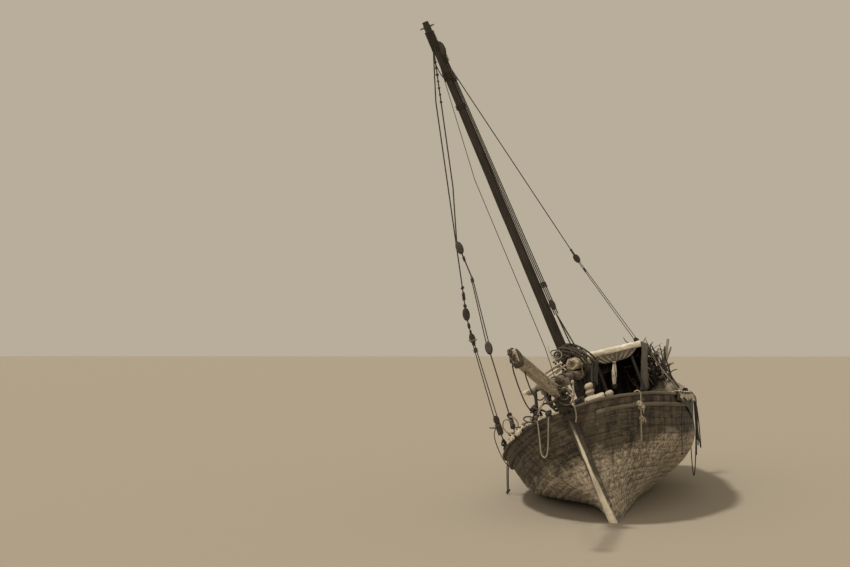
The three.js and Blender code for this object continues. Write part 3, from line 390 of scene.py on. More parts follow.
def hullMaterial(name):
    finish = hullFinish
    material, tree, shader = newMaterial(name)
    uv = addNode(tree, "UVMap", uv_map="UVMap").outputs[0]
    boat = addNode(tree, "SeparateXYZ", {0: boatVector(tree)}).outputs
    own = addNode(tree, "TexCoord").outputs["Object"]
    above = addNode(tree, "SeparateXYZ", {0: own}).outputs[2]
    side = addNode(tree, "CombineXYZ", {0: boat[0], 1: boat[2], 2: boat[1]}).outputs[0]
    grain = placeEffect(tree, "grain", {"Vector": uv})
    planks = placeEffect(tree, "planks", {
        "Vector": uv, "Width": finish["strakeWidth"], "Length": finish["plankLength"],
        "Nail Spacing": finish["frameSpacing"], "Seam": 0.007, "Nail Size": 0.015})
    stain = placeEffect(tree, "stain", {"Vector": side})
    # short dark dashes along the planks, as left by caulking and oil
    dash = addNode(tree, "TexNoise", {"Vector": scaled(tree, uv, (3.2, 13, 13)), "Scale": 1.0, "Detail": 5.0,
                                      "Roughness": 0.7}).outputs[0]
    broad = addNode(tree, "TexNoise", {"Vector": scaled(tree, side, (0.7, 1.1, 0.7)), "Scale": 1.0,
                                       "Detail": 6.0}).outputs[0]
    fine = addNode(tree, "TexNoise", {"Vector": own, "Scale": 16.0, "Detail": 6.0, "Roughness": 0.7}).outputs[0]

    upper = mixColour(tree, between(tree, broad, 0.35, 0.65), finish["upperDark"], finish["upperMid"])
    upper = mixColour(tree, between(tree, planks["Tone"], 0.0, 1.0, 0.0, 0.5), upper, finish["upperMid"])
    upper = mixColour(tree, between(tree, grain["Fibre"], 0.45, 0.8, 0.0, 0.45), upper, finish["upperPale"])
    upper = mixColour(tree, between(tree, fine, 0.52, 0.62, 0.0, 0.5), upper, finish["upperPale"])
    upper = mixColour(tree, between(tree, dash, 0.49, 0.56, 0.0, 0.9), upper, finish["upperDark"])
    upper = mixColour(tree, mathNode(tree, "MULTIPLY", stain["Dribble"], 0.42), upper, finish["upperPale"])

    lower = mixColour(tree, between(tree, broad, 0.35, 0.65), finish["lowerDark"], finish["lowerMid"])
    lower = mixColour(tree, between(tree, fine, 0.46, 0.58, 0.0, 0.85), lower, finish["lowerPale"])
    lower = mixColour(tree, between(tree, dash, 0.52, 0.60, 0.0, 0.75), lower, finish["lowerDark"])
    lower = mixColour(tree, mathNode(tree, "MULTIPLY", stain["Dribble"], 0.3), lower, finish["lowerPale"])

    ragged = mathNode(tree, "MULTIPLY", mathNode(tree, "SUBTRACT", stain["Blotch"], 0.5), finish["ragged"])
    rise = between(tree, boat[0], finish["riseFrom"], finish["riseTo"], 0.0, finish["bowRise"])
    edge = mathNode(tree, "SUBTRACT", mathNode(tree, "ADD", boat[2], ragged), rise)
    share = between(tree, edge, finish["darkFrom"] - 0.12, finish["darkFrom"] + 0.16)
    base = mixColour(tree, share, lower, upper)
    base = mixColour(tree, between(tree, planks["Weep"], 0.0, 1.0, 0.0, 0.4), base, finish["upperDark"])
    seamShow = between(tree, edge, 1.2, 2.2, 0.22, 0.8)
    base = mixColour(tree, mathNode(tree, "MULTIPLY", planks["Seam"], seamShow), base, seamColour)
    base = mixColour(tree, mathNode(tree, "MULTIPLY", planks["Nail"], seamShow), base, seamColour)
    base = mixColour(tree, between(tree, grain["Crack"], 0.0, 1.0, 0.0, 0.5), base, crackColour)
    wetEdge = mathNode(tree, "ADD", above, mathNode(tree, "MULTIPLY", stain["Blotch"], -0.06))
    wet = between(tree, wetEdge, 0.07, 0.0, 0.0, 0.8)
    base = mixColour(tree, wet, base, finish["wet"])
    tree.links.new(base, shader.inputs["Base Color"])
    tree.links.new(between(tree, wet, 0.0, 0.8, 0.86, 0.35), shader.inputs["Roughness"])
    height = mathNode(tree, "SUBTRACT", mathNode(tree, "MULTIPLY", grain["Fibre"], 0.4), grain["Crack"])
    height = mathNode(tree, "SUBTRACT", height, mathNode(tree, "MULTIPLY", planks["Seam"], 2.5))
    height = mathNode(tree, "ADD", height, mathNode(tree, "MULTIPLY", fine, 0.8))
    joinHeight(tree, shader, height, 0.8, 0.005)
    return material


# The stem: pale on its face and foot, partly bleached bare wood and partly painted highlight where light falls on the
# raked face; dark on its cheeks higher up.
def stemMaterial(name):
    tone = timberTones["bleachedTimber"]
    material, tree, shader = newMaterial(name)
    vector = boatVector(tree, (0, 72, 0))
    boat = addNode(tree, "SeparateXYZ", {0: boatVector(tree)}).outputs
    own = addNode(tree, "TexCoord").outputs["Object"]
    grain = placeEffect(tree, "grain", {"Vector": vector, "Fineness": 1.2})
    stain = placeEffect(tree, "stain", {"Vector": own})
    base = mixColour(tree, between(tree, grain["Tone"], 0.25, 0.55), tone["mid"], (0.86, 0.77, 0.61, 1))
    base = mixColour(tree, between(tree, stain["Blotch"], 0.52, 0.75, 0.0, 0.6), base, tone["dark"])
    base = mixColour(tree, mathNode(tree, "MULTIPLY", grain["Crack"], 0.7), base, crackColour)
    # the pale strip, bare wood with a painted highlight on it, is narrow below the head and as wide as the stem at the
    # foot
    offCentre = mathNode(tree, "ABSOLUTE", mathNode(tree, "ADD", boat[1], 0.02))
    ragged = mathNode(tree, "MULTIPLY", mathNode(tree, "SUBTRACT", stain["Blotch"], 0.5), 0.06)
    offCentre = mathNode(tree, "ADD", offCentre, ragged)
    bareAndLitHalf = between(tree, boat[2], 0.45, 1.8, 0.075, 0.012)
    cheek = between(tree, mathNode(tree, "SUBTRACT", offCentre, bareAndLitHalf), 0.0, 0.02)
    fine = addNode(tree, "TexNoise", {"Vector": own, "Scale": 16.0, "Detail": 6.0, "Roughness": 0.7}).outputs[0]
    dash = addNode(tree, "TexNoise", {"Vector": scaled(tree, boatVector(tree), (3.2, 13, 13)), "Scale": 1.0,
                                      "Detail": 5.0, "Roughness": 0.7}).outputs[0]
    lower = mixColour(tree, between(tree, fine, 0.44, 0.58), (0.085, 0.068, 0.049, 1), (0.36, 0.30, 0.22, 1))
    upper = mixColour(tree, between(tree, fine, 0.50, 0.62), (0.018, 0.014, 0.010, 1), (0.10, 0.080, 0.058, 1))
    cheekTone = mixColour(tree, between(tree, boat[2], 0.9, 1.6), lower, upper)
    cheekTone = mixColour(tree, between(tree, dash, 0.49, 0.57, 0.0, 0.85), cheekTone, (0.022, 0.017, 0.012, 1))
    base = mixColour(tree, mathNode(tree, "MULTIPLY", cheek, 0.94), base, cheekTone)
    base = mixColour(tree, between(tree, boat[2], 2.25, 2.45, 0.0, 0.9), base, (0.04, 0.031, 0.022, 1))
    tree.links.new(base, shader.inputs["Base Color"])
    shader.inputs["Roughness"].default_value = 0.85
    height = mathNode(tree, "SUBTRACT", mathNode(tree, "MULTIPLY", grain["Fibre"], 0.5), grain["Crack"])
    joinHeight(tree, shader, height, 0.8, 0.006)
    return material


ropeTones = {
    "darkRope": {"deep": (0.010, 0.008, 0.006, 1), "face": (0.055, 0.043, 0.031, 1), "fuzz": (0.13, 0.105, 0.078, 1)},
    "brownRope": {"deep": (0.022, 0.017, 0.011, 1), "face": (0.12, 0.094, 0.063, 1), "fuzz": (0.24, 0.195, 0.14, 1)},
    "paleRope": {"deep": (0.09, 0.07, 0.045, 1), "face": (0.42, 0.35, 0.245, 1), "fuzz": (0.66, 0.57, 0.43, 1)},
}


def ropeMaterial(name):
    tone = ropeTones[name]
    material, tree, shader = newMaterial(name)
    vector = addNode(tree, "UVMap", uv_map="UVMap").outputs[0]
    own = addNode(tree, "TexCoord").outputs["Object"]
    lay = placeEffect(tree, "lay", {"Vector": vector})
    grime = addNode(tree, "TexNoise", {"Vector": own, "Scale": 3.5, "Detail": 4.0}).outputs[0]
    # darker in the grooves between the strands: painted shade
    base = mixColour(tree, between(tree, lay["Strand"], 0.05, 0.75), tone["deep"], tone["face"])
    base = mixColour(tree, between(tree, lay["Fuzz"], 0.5, 0.75, 0.0, 0.7), base, tone["fuzz"])
    base = mixColour(tree, between(tree, grime, 0.5, 0.75, 0.0, 0.5), base, tone["deep"])
    tree.links.new(base, shader.inputs["Base Color"])
    tree.links.new(between(tree, lay["Fuzz"], 0.3, 0.7, 0.8, 0.98), shader.inputs["Roughness"])
    height = mathNode(tree, "ADD", lay["Strand"], mathNode(tree, "MULTIPLY", lay["Fuzz"], 0.4))
    joinHeight(tree, shader, height, 0.6, 0.003)
    return material


clothTones = {
    "awningCloth": {"clean": (0.88, 0.81, 0.66, 1), "soiled": (0.50, 0.42, 0.31, 1), "deep": (0.20, 0.16, 0.11, 1)},
    # darker cloth for the valance: painted shade
    "valanceShadeCloth": {"clean": (0.25, 0.20, 0.145, 1), "soiled": (0.11, 0.087, 0.061, 1), "deep": (0.04, 0.031, 0.021, 1)},
    # darker cloth for the awning's hanging side: painted shade
    "awningShadeCloth": {"clean": (0.12, 0.096, 0.069, 1), "soiled": (0.055, 0.043, 0.031, 1), "deep": (0.02, 0.016, 0.011, 1)},
    "sailCloth": {"clean": (0.50, 0.415, 0.29, 1), "soiled": (0.22, 0.175, 0.12, 1), "deep": (0.07, 0.054, 0.037, 1)},
    "ragCloth": {"clean": (0.70, 0.615, 0.465, 1), "soiled": (0.27, 0.22, 0.155, 1), "deep": (0.09, 0.071, 0.05, 1)},
    "darkCanvas": {"clean": (0.30, 0.24, 0.165, 1), "soiled": (0.12, 0.094, 0.065, 1), "deep": (0.035, 0.027, 0.019, 1)},
    "darkCloth": {"clean": (0.045, 0.035, 0.025, 1), "soiled": (0.022, 0.017, 0.012, 1), "deep": (0.01, 0.008, 0.006, 1)},
}


def clothMaterial(name):
    tone = clothTones[name]
    material, tree, shader = newMaterial(name)
    vector = addNode(tree, "UVMap", uv_map="UVMap").outputs[0]
    own = addNode(tree, "TexCoord").outputs["Object"]
    weave = placeEffect(tree, "weave", {"Vector": vector})
    base = mixColour(tree, between(tree, weave["Soil"], 0.38, 0.66), tone["clean"], tone["soiled"])
    base = mixColour(tree, between(tree, weave["Crease"], 0.54, 0.74, 0.0, 0.6), base, tone["deep"])
    patch = addNode(tree, "TexNoise", {"Vector": own, "Scale": 1.1, "Detail": 3.0}).outputs[0]
    base = mixColour(tree, between(tree, patch, 0.55, 0.62, 0.0, 0.25), base, tone["soiled"])
    # darker in the hollows between threads: painted shade
    base = mixColour(tree, between(tree, weave["Weave"], 0.3, 0.0, 0.0, 0.35), base, tone["deep"])
    tree.links.new(base, shader.inputs["Base Color"])
    shader.inputs["Roughness"].default_value = 0.95
    shader.inputs["Sheen Weight"].default_value = 0.15
    height = mathNode(tree, "ADD", mathNode(tree, "MULTIPLY", weave["Weave"], 0.12),
                      mathNode(tree, "MULTIPLY", weave["Crease"], 1.6))
    joinHeight(tree, shader, height, 0.6, 0.008)
    return material


ironFinish = {"scale": (0.018, 0.014, 0.011, 1), "rust": (0.10, 0.052, 0.026, 1), "bright": (0.21, 0.16, 0.11, 1)}


def ironMaterial(name):
    material, tree, shader = newMaterial(name)
    own = addNode(tree, "TexCoord").outputs["Object"]
    pits = addNode(tree, "TexNoise", {"Vector": own, "Scale": 55.0, "Detail": 6.0}).outputs[0]
    bloom = addNode(tree, "TexNoise", {"Vector": own, "Scale": 9.0, "Detail": 8.0, "Roughness": 0.7}).outputs[0]
    base = mixColour(tree, between(tree, bloom, 0.42, 0.62), ironFinish["scale"], ironFinish["rust"])
    base = mixColour(tree, between(tree, pits, 0.6, 0.75, 0.0, 0.6), base, ironFinish["bright"])
    tree.links.new(base, shader.inputs["Base Color"])
    tree.links.new(between(tree, bloom, 0.4, 0.65, 0.55, 0.1), shader.inputs["Metallic"])
    tree.links.new(between(tree, bloom, 0.4, 0.65, 0.5, 0.92), shader.inputs["Roughness"])
    joinHeight(tree, shader, pits, 0.7, 0.002)
    return material


materials = {
    "hullPlanks": hullMaterial("hullPlanks"),
    "stemTimber": stemMaterial("stemTimber"),
    "deckPlanks": timber("deckPlanks", plankWidth=0.15, plankLength=2.6),
    "bleachedTimber": timber("bleachedTimber", wear=0.6),
    "greyTimber": timber("greyTimber", wear=0.7),
    "sparTimber": timber("sparTimber", uvMap="UVMap", fineness=0.8),
    "darkTimber": timber("darkTimber", wear=0.4),
    "sternPlanks": timber("sternPlanks", (0, 90, 90), plankWidth=0.17, plankLength=3.0, wear=0.4),
    "paleStick": timber("paleStick", uvMap="UVMap", fineness=1.0, wear=0.5),
    "stickTimber": timber("stickTimber", uvMap="UVMap", fineness=1.0),
    "darkRope": ropeMaterial("darkRope"),
    "brownRope": ropeMaterial("brownRope"),
    "paleRope": ropeMaterial("paleRope"),
    "awningCloth": clothMaterial("awningCloth"),
    "valanceShadeCloth": clothMaterial("valanceShadeCloth"),
    "awningShadeCloth": clothMaterial("awningShadeCloth"),
    "sailCloth": clothMaterial("sailCloth"),
    "ragCloth": clothMaterial("ragCloth"),
    "darkCloth": clothMaterial("darkCloth"),
    "darkCanvas": clothMaterial("darkCanvas"),
    "iron": ironMaterial("iron"),
}
print("materials made:", len(materials))


# Making shapes
def inEditMode(piece, *steps):
    makeActive(piece)
    bpy.ops.object.mode_set(mode="EDIT")
    bpy.ops.mesh.select_all(action="SELECT")
    for step in steps:
        step()
    bpy.ops.object.mode_set(mode="OBJECT")


def applyModifier(piece, kind, **values):
    makeActive(piece)
    modifier = piece.modifiers.new(kind.title(), kind)
    for name, value in values.items():
        setattr(modifier, name, value)
    bpy.ops.object.modifier_apply(modifier=modifier.name)


def smooth(piece, degrees=40):
    makeActive(piece)
    bpy.ops.object.shade_smooth_by_angle(angle=math.radians(degrees))


def formGrid(name, columns, rows, place, uvPlace=None):
    # A flat grid whose points are moved to where the shape has them.
    deselectAll()
    bpy.ops.mesh.primitive_grid_add(x_subdivisions=columns, y_subdivisions=rows, size=1.0)
    piece = bpy.context.object
    piece.name = piece.data.name = name
    for point in piece.data.vertices:
        point.co = place(point.co.x + 0.5, point.co.y + 0.5)
    if uvPlace:
        for corner in piece.data.uv_layers.active.data:
            corner.uv = uvPlace(corner.uv[0], corner.uv[1])
    return piece


def skinRings(name, rings, uvPlace, axes=toRow, capped=True):
    # A grid rolled into a closed skin over equal rings of points.
    columns, rows = len(rings) - 1, len(rings[0])
    piece = formGrid(
        name, columns, rows,
        lambda u, v: axes @ Vector(rings[round(u * columns)][round(v * rows) % rows]), uvPlace)
    steps = [lambda: bpy.ops.mesh.remove_doubles(threshold=0.00001)]
    if capped:
        steps.append(lambda: bpy.ops.mesh.fill_holes(sides=0))
    steps.append(lambda: bpy.ops.mesh.select_all(action="SELECT"))
    steps.append(lambda: bpy.ops.mesh.normals_make_consistent(inside=False))
    inEditMode(piece, *steps)
    smooth(piece, 60)
    return piece


def finishPiece(piece, material, replaced=(), body="boat"):
    if material:
        piece.data.materials.clear()
        piece.data.materials.append(materials[material])
    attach(piece, body)
    if replaced:
        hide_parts(*replaced)
    return piece


def joinPieces(name, pieces):
    deselectAll()
    for piece in pieces:
        piece.select_set(True)
    bpy.context.view_layer.objects.active = pieces[0]
    if len(pieces) > 1:
        bpy.ops.object.join()
    pieces[0].name = pieces[0].data.name = name
    return pieces[0]


def smoothPath(points, spacing):
    # An even walk along a smooth curve through the points.
    given = [Vector(p) for p in points]
    given = [given[0] * 2 - given[1]] + given + [given[-1] * 2 - given[-2]]
    dense = []
    for before, start, end, after in zip(given, given[1:], given[2:], given[3:]):
        gaps = [max((b - a).length, 1e-6) ** 0.5 for a, b in ((before, start), (start, end), (end, after))]
        leave = ((start - before) / gaps[0] - (end - before) / (gaps[0] + gaps[1]) + (end - start) / gaps[1]) * gaps[1]
        arrive = ((end - start) / gaps[1] - (after - start) / (gaps[1] + gaps[2]) + (after - end) / gaps[2]) * gaps[1]
        steps = max(2, min(24, round((end - start).length / spacing * 1.5)))
        for i in range(steps):
            t = i / steps
            dense.append(start * (2 * t**3 - 3 * t**2 + 1) + leave * (t**3 - 2 * t**2 + t)
                         + end * (3 * t**2 - 2 * t**3) + arrive * (t**3 - t**2))
    dense.append(given[-2])
    return evenPath(dense, spacing)


def pathLength(path):
    return sum((b - a).length for a, b in zip(path, path[1:]))


def evenPath(path, spacing):
    total = pathLength(path)
    count = max(2, round(total / spacing))
    even, walked, index = [path[0].copy()], 0.0, 0
    for i in range(1, count):
        target = total * i / count
        while walked + (path[index + 1] - path[index]).length < target:
            walked += (path[index + 1] - path[index]).length
            index += 1
        stretch = (path[index + 1] - path[index]).length
        even.append(path[index].lerp(path[index + 1], (target - walked) / stretch))
    even.append(path[-1].copy())
    return even


def easedPath(path, rounds):
    # Wears the sharpest turns off a path and leaves its ends in place.
    for _ in range(rounds):
        middle = [(a + c) * 0.25 + b * 0.5 for a, b, c in zip(path, path[1:], path[2:])]
        path = [path[0]] + middle + [path[-1]]
    return path


def carriedSides(path):
    # Two sides square to the path at each point, carried along without twist.
    sides = []
    ahead = (path[1] - path[0]).normalized()
    side = ahead.orthogonal().normalized()
    for i, point in enumerate(path):
        a, b = path[max(i - 1, 0)], path[min(i + 1, len(path) - 1)]
        ahead = (b - a).normalized() if (b - a).length > 1e-9 else ahead
        side = (side - ahead * side.dot(ahead)).normalized()
        sides.append((side, ahead.cross(side)))
    return sides


ropeShape = {"sides": 9, "strands": 3, "hollow": 0.13, "layLength": 6.5, "step": 0.9}


def ropeRings(path, radius, taper=None):
    rings = []
    step = pathLength(path) / (len(path) - 1)
    for i, (point, (side, up)) in enumerate(zip(path, carriedSides(path))):
        turned = 2 * math.pi * i * step / (ropeShape["layLength"] * radius)
        reach = radius * (taper(i / (len(path) - 1)) if taper else 1.0)
        ring = []
        for k in range(ropeShape["sides"]):
            angle = 2 * math.pi * k / ropeShape["sides"]
            strand = math.cos(ropeShape["strands"] * (angle - turned))
            out = reach * (1 - ropeShape["hollow"] + ropeShape["hollow"] * strand)
            ring.append(point + side * (out * math.cos(angle)) + up * (out * math.sin(angle)))
        rings.append(ring)
    return rings


def ropeAlong(name, path, radius, material="darkRope", axes=toRow, taper=None):
    length = pathLength(path)
    perTurn = 0.1 / (ropeShape["layLength"] * radius)
    piece = skinRings(name, ropeRings(path, radius, taper), lambda u, v: (u * length * perTurn, v), axes)
    piece.data.materials.append(materials[material])
    return piece


def ropeThrough(name, points, radius, material="darkRope", axes=toRow):
    return ropeAlong(name, smoothPath(points, ropeShape["step"] * radius), radius, material, axes)


def turnsPath(start, end, reach, turns, perTurn=14, wobble=0.0, seed=0):
    # Turns of rope wound round the line from start to end.
    start, end = Vector(start), Vector(end)
    ahead = (end - start).normalized()
    side = ahead.orthogonal().normalized()
    up = ahead.cross(side)
    path = []
    for i in range(turns * perTurn + 1):
        t = i / (turns * perTurn)
        angle = 2 * math.pi * turns * t
        out = reach * (1 + wobble * noise.noise((t * turns * 1.3, seed, 0.5)))
        path.append(start.lerp(end, t) + side * (out * math.cos(angle)) + up * (out * math.sin(angle)))
    return path


def lashing(name, start, end, reach, turns, radius, material="darkRope", wobble=0.04, seed=0):
    path = turnsPath(start, end, reach + radius, turns, 14, wobble, seed)
    return ropeAlong(name, path, radius, material)


def knotPath(centre, size, tilt=0.0):
    # The path of a rope drawn up in a round knot.
    path = []
    turn = Matrix.Rotation(tilt, 3, "Y") @ Matrix.Rotation(tilt * 1.7, 3, "X")
    for i in range(73):
        angle = 2 * math.pi * i / 72
        out = 1 + 0.55 * math.cos(3 * angle)
        loop = Vector((out * math.cos(2 * angle), out * math.sin(2 * angle), 0.95 * math.sin(3 * angle)))
        path.append(Vector(centre) + turn @ loop * (size / 1.9))
    return path


def knot(name, centre, size, radius, material="darkRope", tilt=0.4, axes=toRow):
    return ropeAlong(name, knotPath(centre, size - radius, tilt), radius, material, axes)


def sparPiece(name, line, sides=28, step=0.12, wobble=0.004, axes=toRow, seed=0):
    # A round spar along points of x, y, z, radius, rounded off at both ends.
    path, reaches = [], []
    for (a, b) in zip(line, line[1:]):
        length = (Vector(b[:3]) - Vector(a[:3])).length
        count = max(1, round(length / step))
        for i in range(count):
            t = i / count
            path.append(Vector(a[:3]).lerp(Vector(b[:3]), t))
            reaches.append(a[3] + (b[3] - a[3]) * t)
    path.append(Vector(line[-1][:3]))
    reaches.append(line[-1][3])
    rings = []
    for i, (point, reach, (side, up)) in enumerate(zip(path, reaches, carriedSides(path))):
        ring = []
        for k in range(sides):
            angle = 2 * math.pi * k / sides
            rough = noise.noise((point.x * 1.7 + seed, 2 * math.cos(angle), 2 * math.sin(angle) + point.z))
            ring.append(point + (side * math.cos(angle) + up * math.sin(angle)) * (reach + wobble * rough))
        rings.append(ring)
    for end, place in ((0, 0), (-1, len(rings))):
        centre = path[end]
        inward = (path[1] - path[0]).normalized() if end == 0 else (path[-2] - path[-1]).normalized()
        shrunk = [centre + (corner - centre) * 0.8 for corner in rings[end]]
        rings[end] = [corner + inward * reaches[end] * 0.2 for corner in rings[end]]
        rings.insert(place, shrunk)
    length = pathLength(path)
    return skinRings(name, rings, lambda u, v: (u * length, v * 2 * math.pi * line[0][3]), axes)


def timberBar(name, start, end, width, depth, bevel=0.006, rough=0.0, cuts=0, up=(0, 0, 1), seed=0):
    # A squared timber from start to end, its edges eased and its faces a little uneven.
    start, end = Vector(start), Vector(end)
    ahead = (end - start).normalized()
    side = Vector(up).cross(ahead).normalized()
    square = Matrix((ahead, side, ahead.cross(side))).transposed()
    deselectAll()
    bpy.ops.mesh.primitive_cube_add(size=1.0)
    piece = bpy.context.object
    piece.name = piece.data.name = name
    length = (end - start).length
    for point in piece.data.vertices:
        point.co = Vector((point.co.x * length, point.co.y * width, point.co.z * depth))
    if cuts:
        makeActive(piece)
        bpy.ops.object.mode_set(mode="EDIT")
        for i in range(cuts):
            bpy.ops.mesh.select_all(action="SELECT")
            across = length * ((i + 1) / (cuts + 1) - 0.5)
            bpy.ops.mesh.bisect(plane_co=(across, 0, 0), plane_no=(1, 0, 0))
        bpy.ops.object.mode_set(mode="OBJECT")
    middle = (start + end) / 2
    for point in piece.data.vertices:
        shift = noise.noise_vector(point.co * 2.3 + Vector((seed * 3.7, 0, 0))) * rough
        point.co = middle + square @ (point.co + shift)
    applyModifier(piece, "BEVEL", width=bevel, segments=2, limit_method="ANGLE", angle_limit=math.radians(50))
    piece.data.transform(toRow)
    smooth(piece, 35)
    return piece


def shortenEdges(piece, longest):
    # Cuts the piece across at even steps along x, y and z.
    makeActive(piece)
    low = Vector([min(p.co[a] for p in piece.data.vertices) for a in range(3)])
    high = Vector([max(p.co[a] for p in piece.data.vertices) for a in range(3)])
    bpy.ops.object.mode_set(mode="EDIT")
    for axis in range(3):
        normal = [1.0 if a == axis else 0.0 for a in range(3)]
        cuts = int((high[axis] - low[axis]) / longest)
        for i in range(1, cuts + 1):
            place = low.copy()
            place[axis] += (high[axis] - low[axis]) * i / (cuts + 1)
            bpy.ops.mesh.select_all(action="SELECT")
            bpy.ops.mesh.bisect(plane_co=place, plane_no=normal)
    bpy.ops.object.mode_set(mode="OBJECT")


def dressNode(node, name, bevel=0.008, rough=0.0, fineness=0.0, scale=3.0, degrees=40):
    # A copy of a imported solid, its loose triangles merged, its edges eased and its faces uneven.
    source = frame["nodes"][node]
    piece = bpy.data.objects.new(name, source.data.copy())
    piece.data.name = name
    bpy.context.scene.collection.objects.link(piece)
    inEditMode(
        piece,
        lambda: bpy.ops.mesh.remove_doubles(threshold=0.00005),
        lambda: bpy.ops.mesh.dissolve_limited(angle_limit=math.radians(1.5)),
    )
    if bevel:
        applyModifier(piece, "BEVEL", width=bevel, segments=2, limit_method="ANGLE",
                      angle_limit=math.radians(35), use_clamp_overlap=True)
    if fineness:
        shortenEdges(piece, fineness)
    if rough:
        for point in piece.data.vertices:
            point.co += noise.noise_vector(point.co * scale) * rough
    smooth(piece, degrees)
    return piece


# The hull's shape, port half: x and z at the rail, then the bilge, the turn and the deadwood.
hull = {
    "sections": (
        (-6.0, 1.15, 2.75, 1.0, 2.05, 1.62, 0.09, 1.7), (-4.0, 1.6, 2.4, 1.48, 1.65, 0.95, 0.12, 1.0),
        (-2.0, 1.9, 2.22, 1.77, 1.5, 0.64, 0.15, 0.7), (0.0, 2.0, 2.18, 1.87, 1.5, 0.62, 0.15, 0.66),
        (1.5, 1.98, 2.24, 1.83, 1.62, 0.95, 0.14, 0.9), (3.0, 1.75, 2.4, 1.56, 1.78, 1.15, 0.12, 1.0),
        (4.2, 1.35, 2.6, 1.15, 1.95, 1.4, 0.1, 1.15), (5.0, 0.85, 2.75, 0.72, 2.06, 1.6, 0.09, 1.2),
        (5.35, 0.45, 2.81, 0.38, 2.11, 1.68, 0.08, 1.25), (5.507, 0.07, 2.84, 0.07, 2.11, 1.7, 0.07, 1.3),
    ),
    "stemEdge": ((4.5, 0.0), (4.8, 0.15), (4.95, 0.6), (5.35, 1.8), (5.7, 2.9), (5.77, 3.12)),
    "stemDepth": 0.18, "curvedFrom": 3.0, "keelHalf": 0.08, "keelDepth": 0.25, "deckDrop": 0.6,
    "raisedDrop": 0.32, "deckThickness": 0.04, "bulwark": 0.06, "railThickness": 0.05, "railWidth": 0.17, "railOverhang": 0.045,
    "strakes": 15, "bulwarkStrakes": 4, "step": 0.1, "seam": 0.008, "belly": 0.004, "uneven": 0.007,
}
sternX, bowX = hull["sections"][0][0], hull["sections"][-1][0]
strakeShape = ((0.0, -1.0), (0.07, 0.0), (0.5, 0.5), (0.93, 0.0))


def fairSection(x):
    rows = hull["sections"]
    i = 0
    while i < len(rows) - 2 and rows[i + 1][0] < x:
        i += 1

    def slope(k, column):
        before, after = rows[max(k - 1, 0)], rows[min(k + 1, len(rows) - 1)]
        return (after[column] - before[column]) / (after[0] - before[0])

    length = rows[i + 1][0] - rows[i][0]
    t = (x - rows[i][0]) / length
    return [
        (2 * t**3 - 3 * t**2 + 1) * rows[i][c] + (3 * t**2 - 2 * t**3) * rows[i + 1][c]
        + (t**3 - 2 * t**2 + t) * length * slope(i, c) + (t**3 - t**2) * length * slope(i + 1, c)
        for c in range(8)
    ]


def railZ(x):
    return fairSection(x)[2]


def deckZ(x):
    return railZ(x) - hull["deckDrop"]


def topsideY(x, z):
    row = fairSection(x)
    return row[3] + (row[1] - row[3]) * (z - row[4]) / (row[2] - row[4])


def trueX(x, z):
    if x <= hull["curvedFrom"]:
        return x
    edge = hull["stemEdge"]
    i = 0
    while i < len(edge) - 2 and edge[i + 1][1] < z:
        i += 1
    (x0, z0), (x1, z1) = edge[i], edge[i + 1]
    stemX = x0 + (x1 - x0) * (z - z0) / (z1 - z0)
    reach = (stemX - hull["stemDepth"] - hull["curvedFrom"]) / (bowX - hull["curvedFrom"])
    return hull["curvedFrom"] + (x - hull["curvedFrom"]) * reach


def sideOutline(x):
    # From the keel round the bilge to the deck's edge.
    row = fairSection(x)
    controls = ((hull["keelHalf"], hull["keelDepth"]), (row[6], row[7]), (topsideY(x, row[5]), row[5]),
                (row[3], row[4]))
    points = []
    for i in range(31):
        t = i / 30
        weights = ((1 - t)**3, 3 * t * (1 - t)**2, 3 * t**2 * (1 - t), t**3)
        y = sum(w * c[0] for w, c in zip(weights, controls))
        points.append(Vector((max(y, 0.07), sum(w * c[1] for w, c in zip(weights, controls)))))
    points.append(Vector((topsideY(x, deckZ(x)), deckZ(x))))
    return points


def plankedLine(outline, strakes, x, seed):
    # The outline walked strake by strake, with a groove at each seam and a little unevenness.
    total = pathLength(outline)
    line = []
    walked, index = 0.0, 0
    for strake in range(strakes):
        lift = hull["uneven"] * noise.noise((x * 0.9, strake * 2.7 + seed, 1.5))
        for share, relief in strakeShape:
            target = total * (strake + share) / strakes
            while index < len(outline) - 2 and walked + (outline[index + 1] - outline[index]).length < target:
                walked += (outline[index + 1] - outline[index]).length
                index += 1
            tangent = (outline[index + 1] - outline[index])
            point = outline[index] + tangent * ((target - walked) / tangent.length)
            out = Vector((tangent.y, -tangent.x)).normalized()
            depth = relief * (hull["seam"] if relief < 0 else hull["belly"]) + (lift if relief >= 0 else 0)
            line.append(point + out * depth)
    line.append(outline[-1])
    return line


def stations(start, end, step):
    count = round((end - start) / step)
    return [start + (end - start) * i / count for i in range(count + 1)]


def buildHull():
    xs = stations(sternX, bowX, hull["step"])
    rings = []
    for x in xs:
        port = plankedLine(sideOutline(x), hull["strakes"], x, 0)
        starboard = plankedLine(sideOutline(x), hull["strakes"], x, 50)
        ring = [(trueX(x, p.y), p.x, p.y) for p in port]
        ring += [(trueX(x, p.y), -p.x, p.y) for p in reversed(starboard)]
        rings.append(ring)
    perSide = hull["strakes"] * len(strakeShape) + 1
    width = hullFinish["strakeWidth"] / len(strakeShape)

    def uvPlace(u, v):
        index = round(v * 2 * perSide)
        x = sternX + (bowX - sternX) * u
        if index < perSide:
            return x, index * width
        return x + 1.3, (2 * perSide - 1 - index) * width + 40 * hullFinish["strakeWidth"]

    piece = skinRings("hullPlanks", rings, uvPlace)
    smooth(piece, 50)
    finishPiece(piece, "hullPlanks", ["hull_planking"])


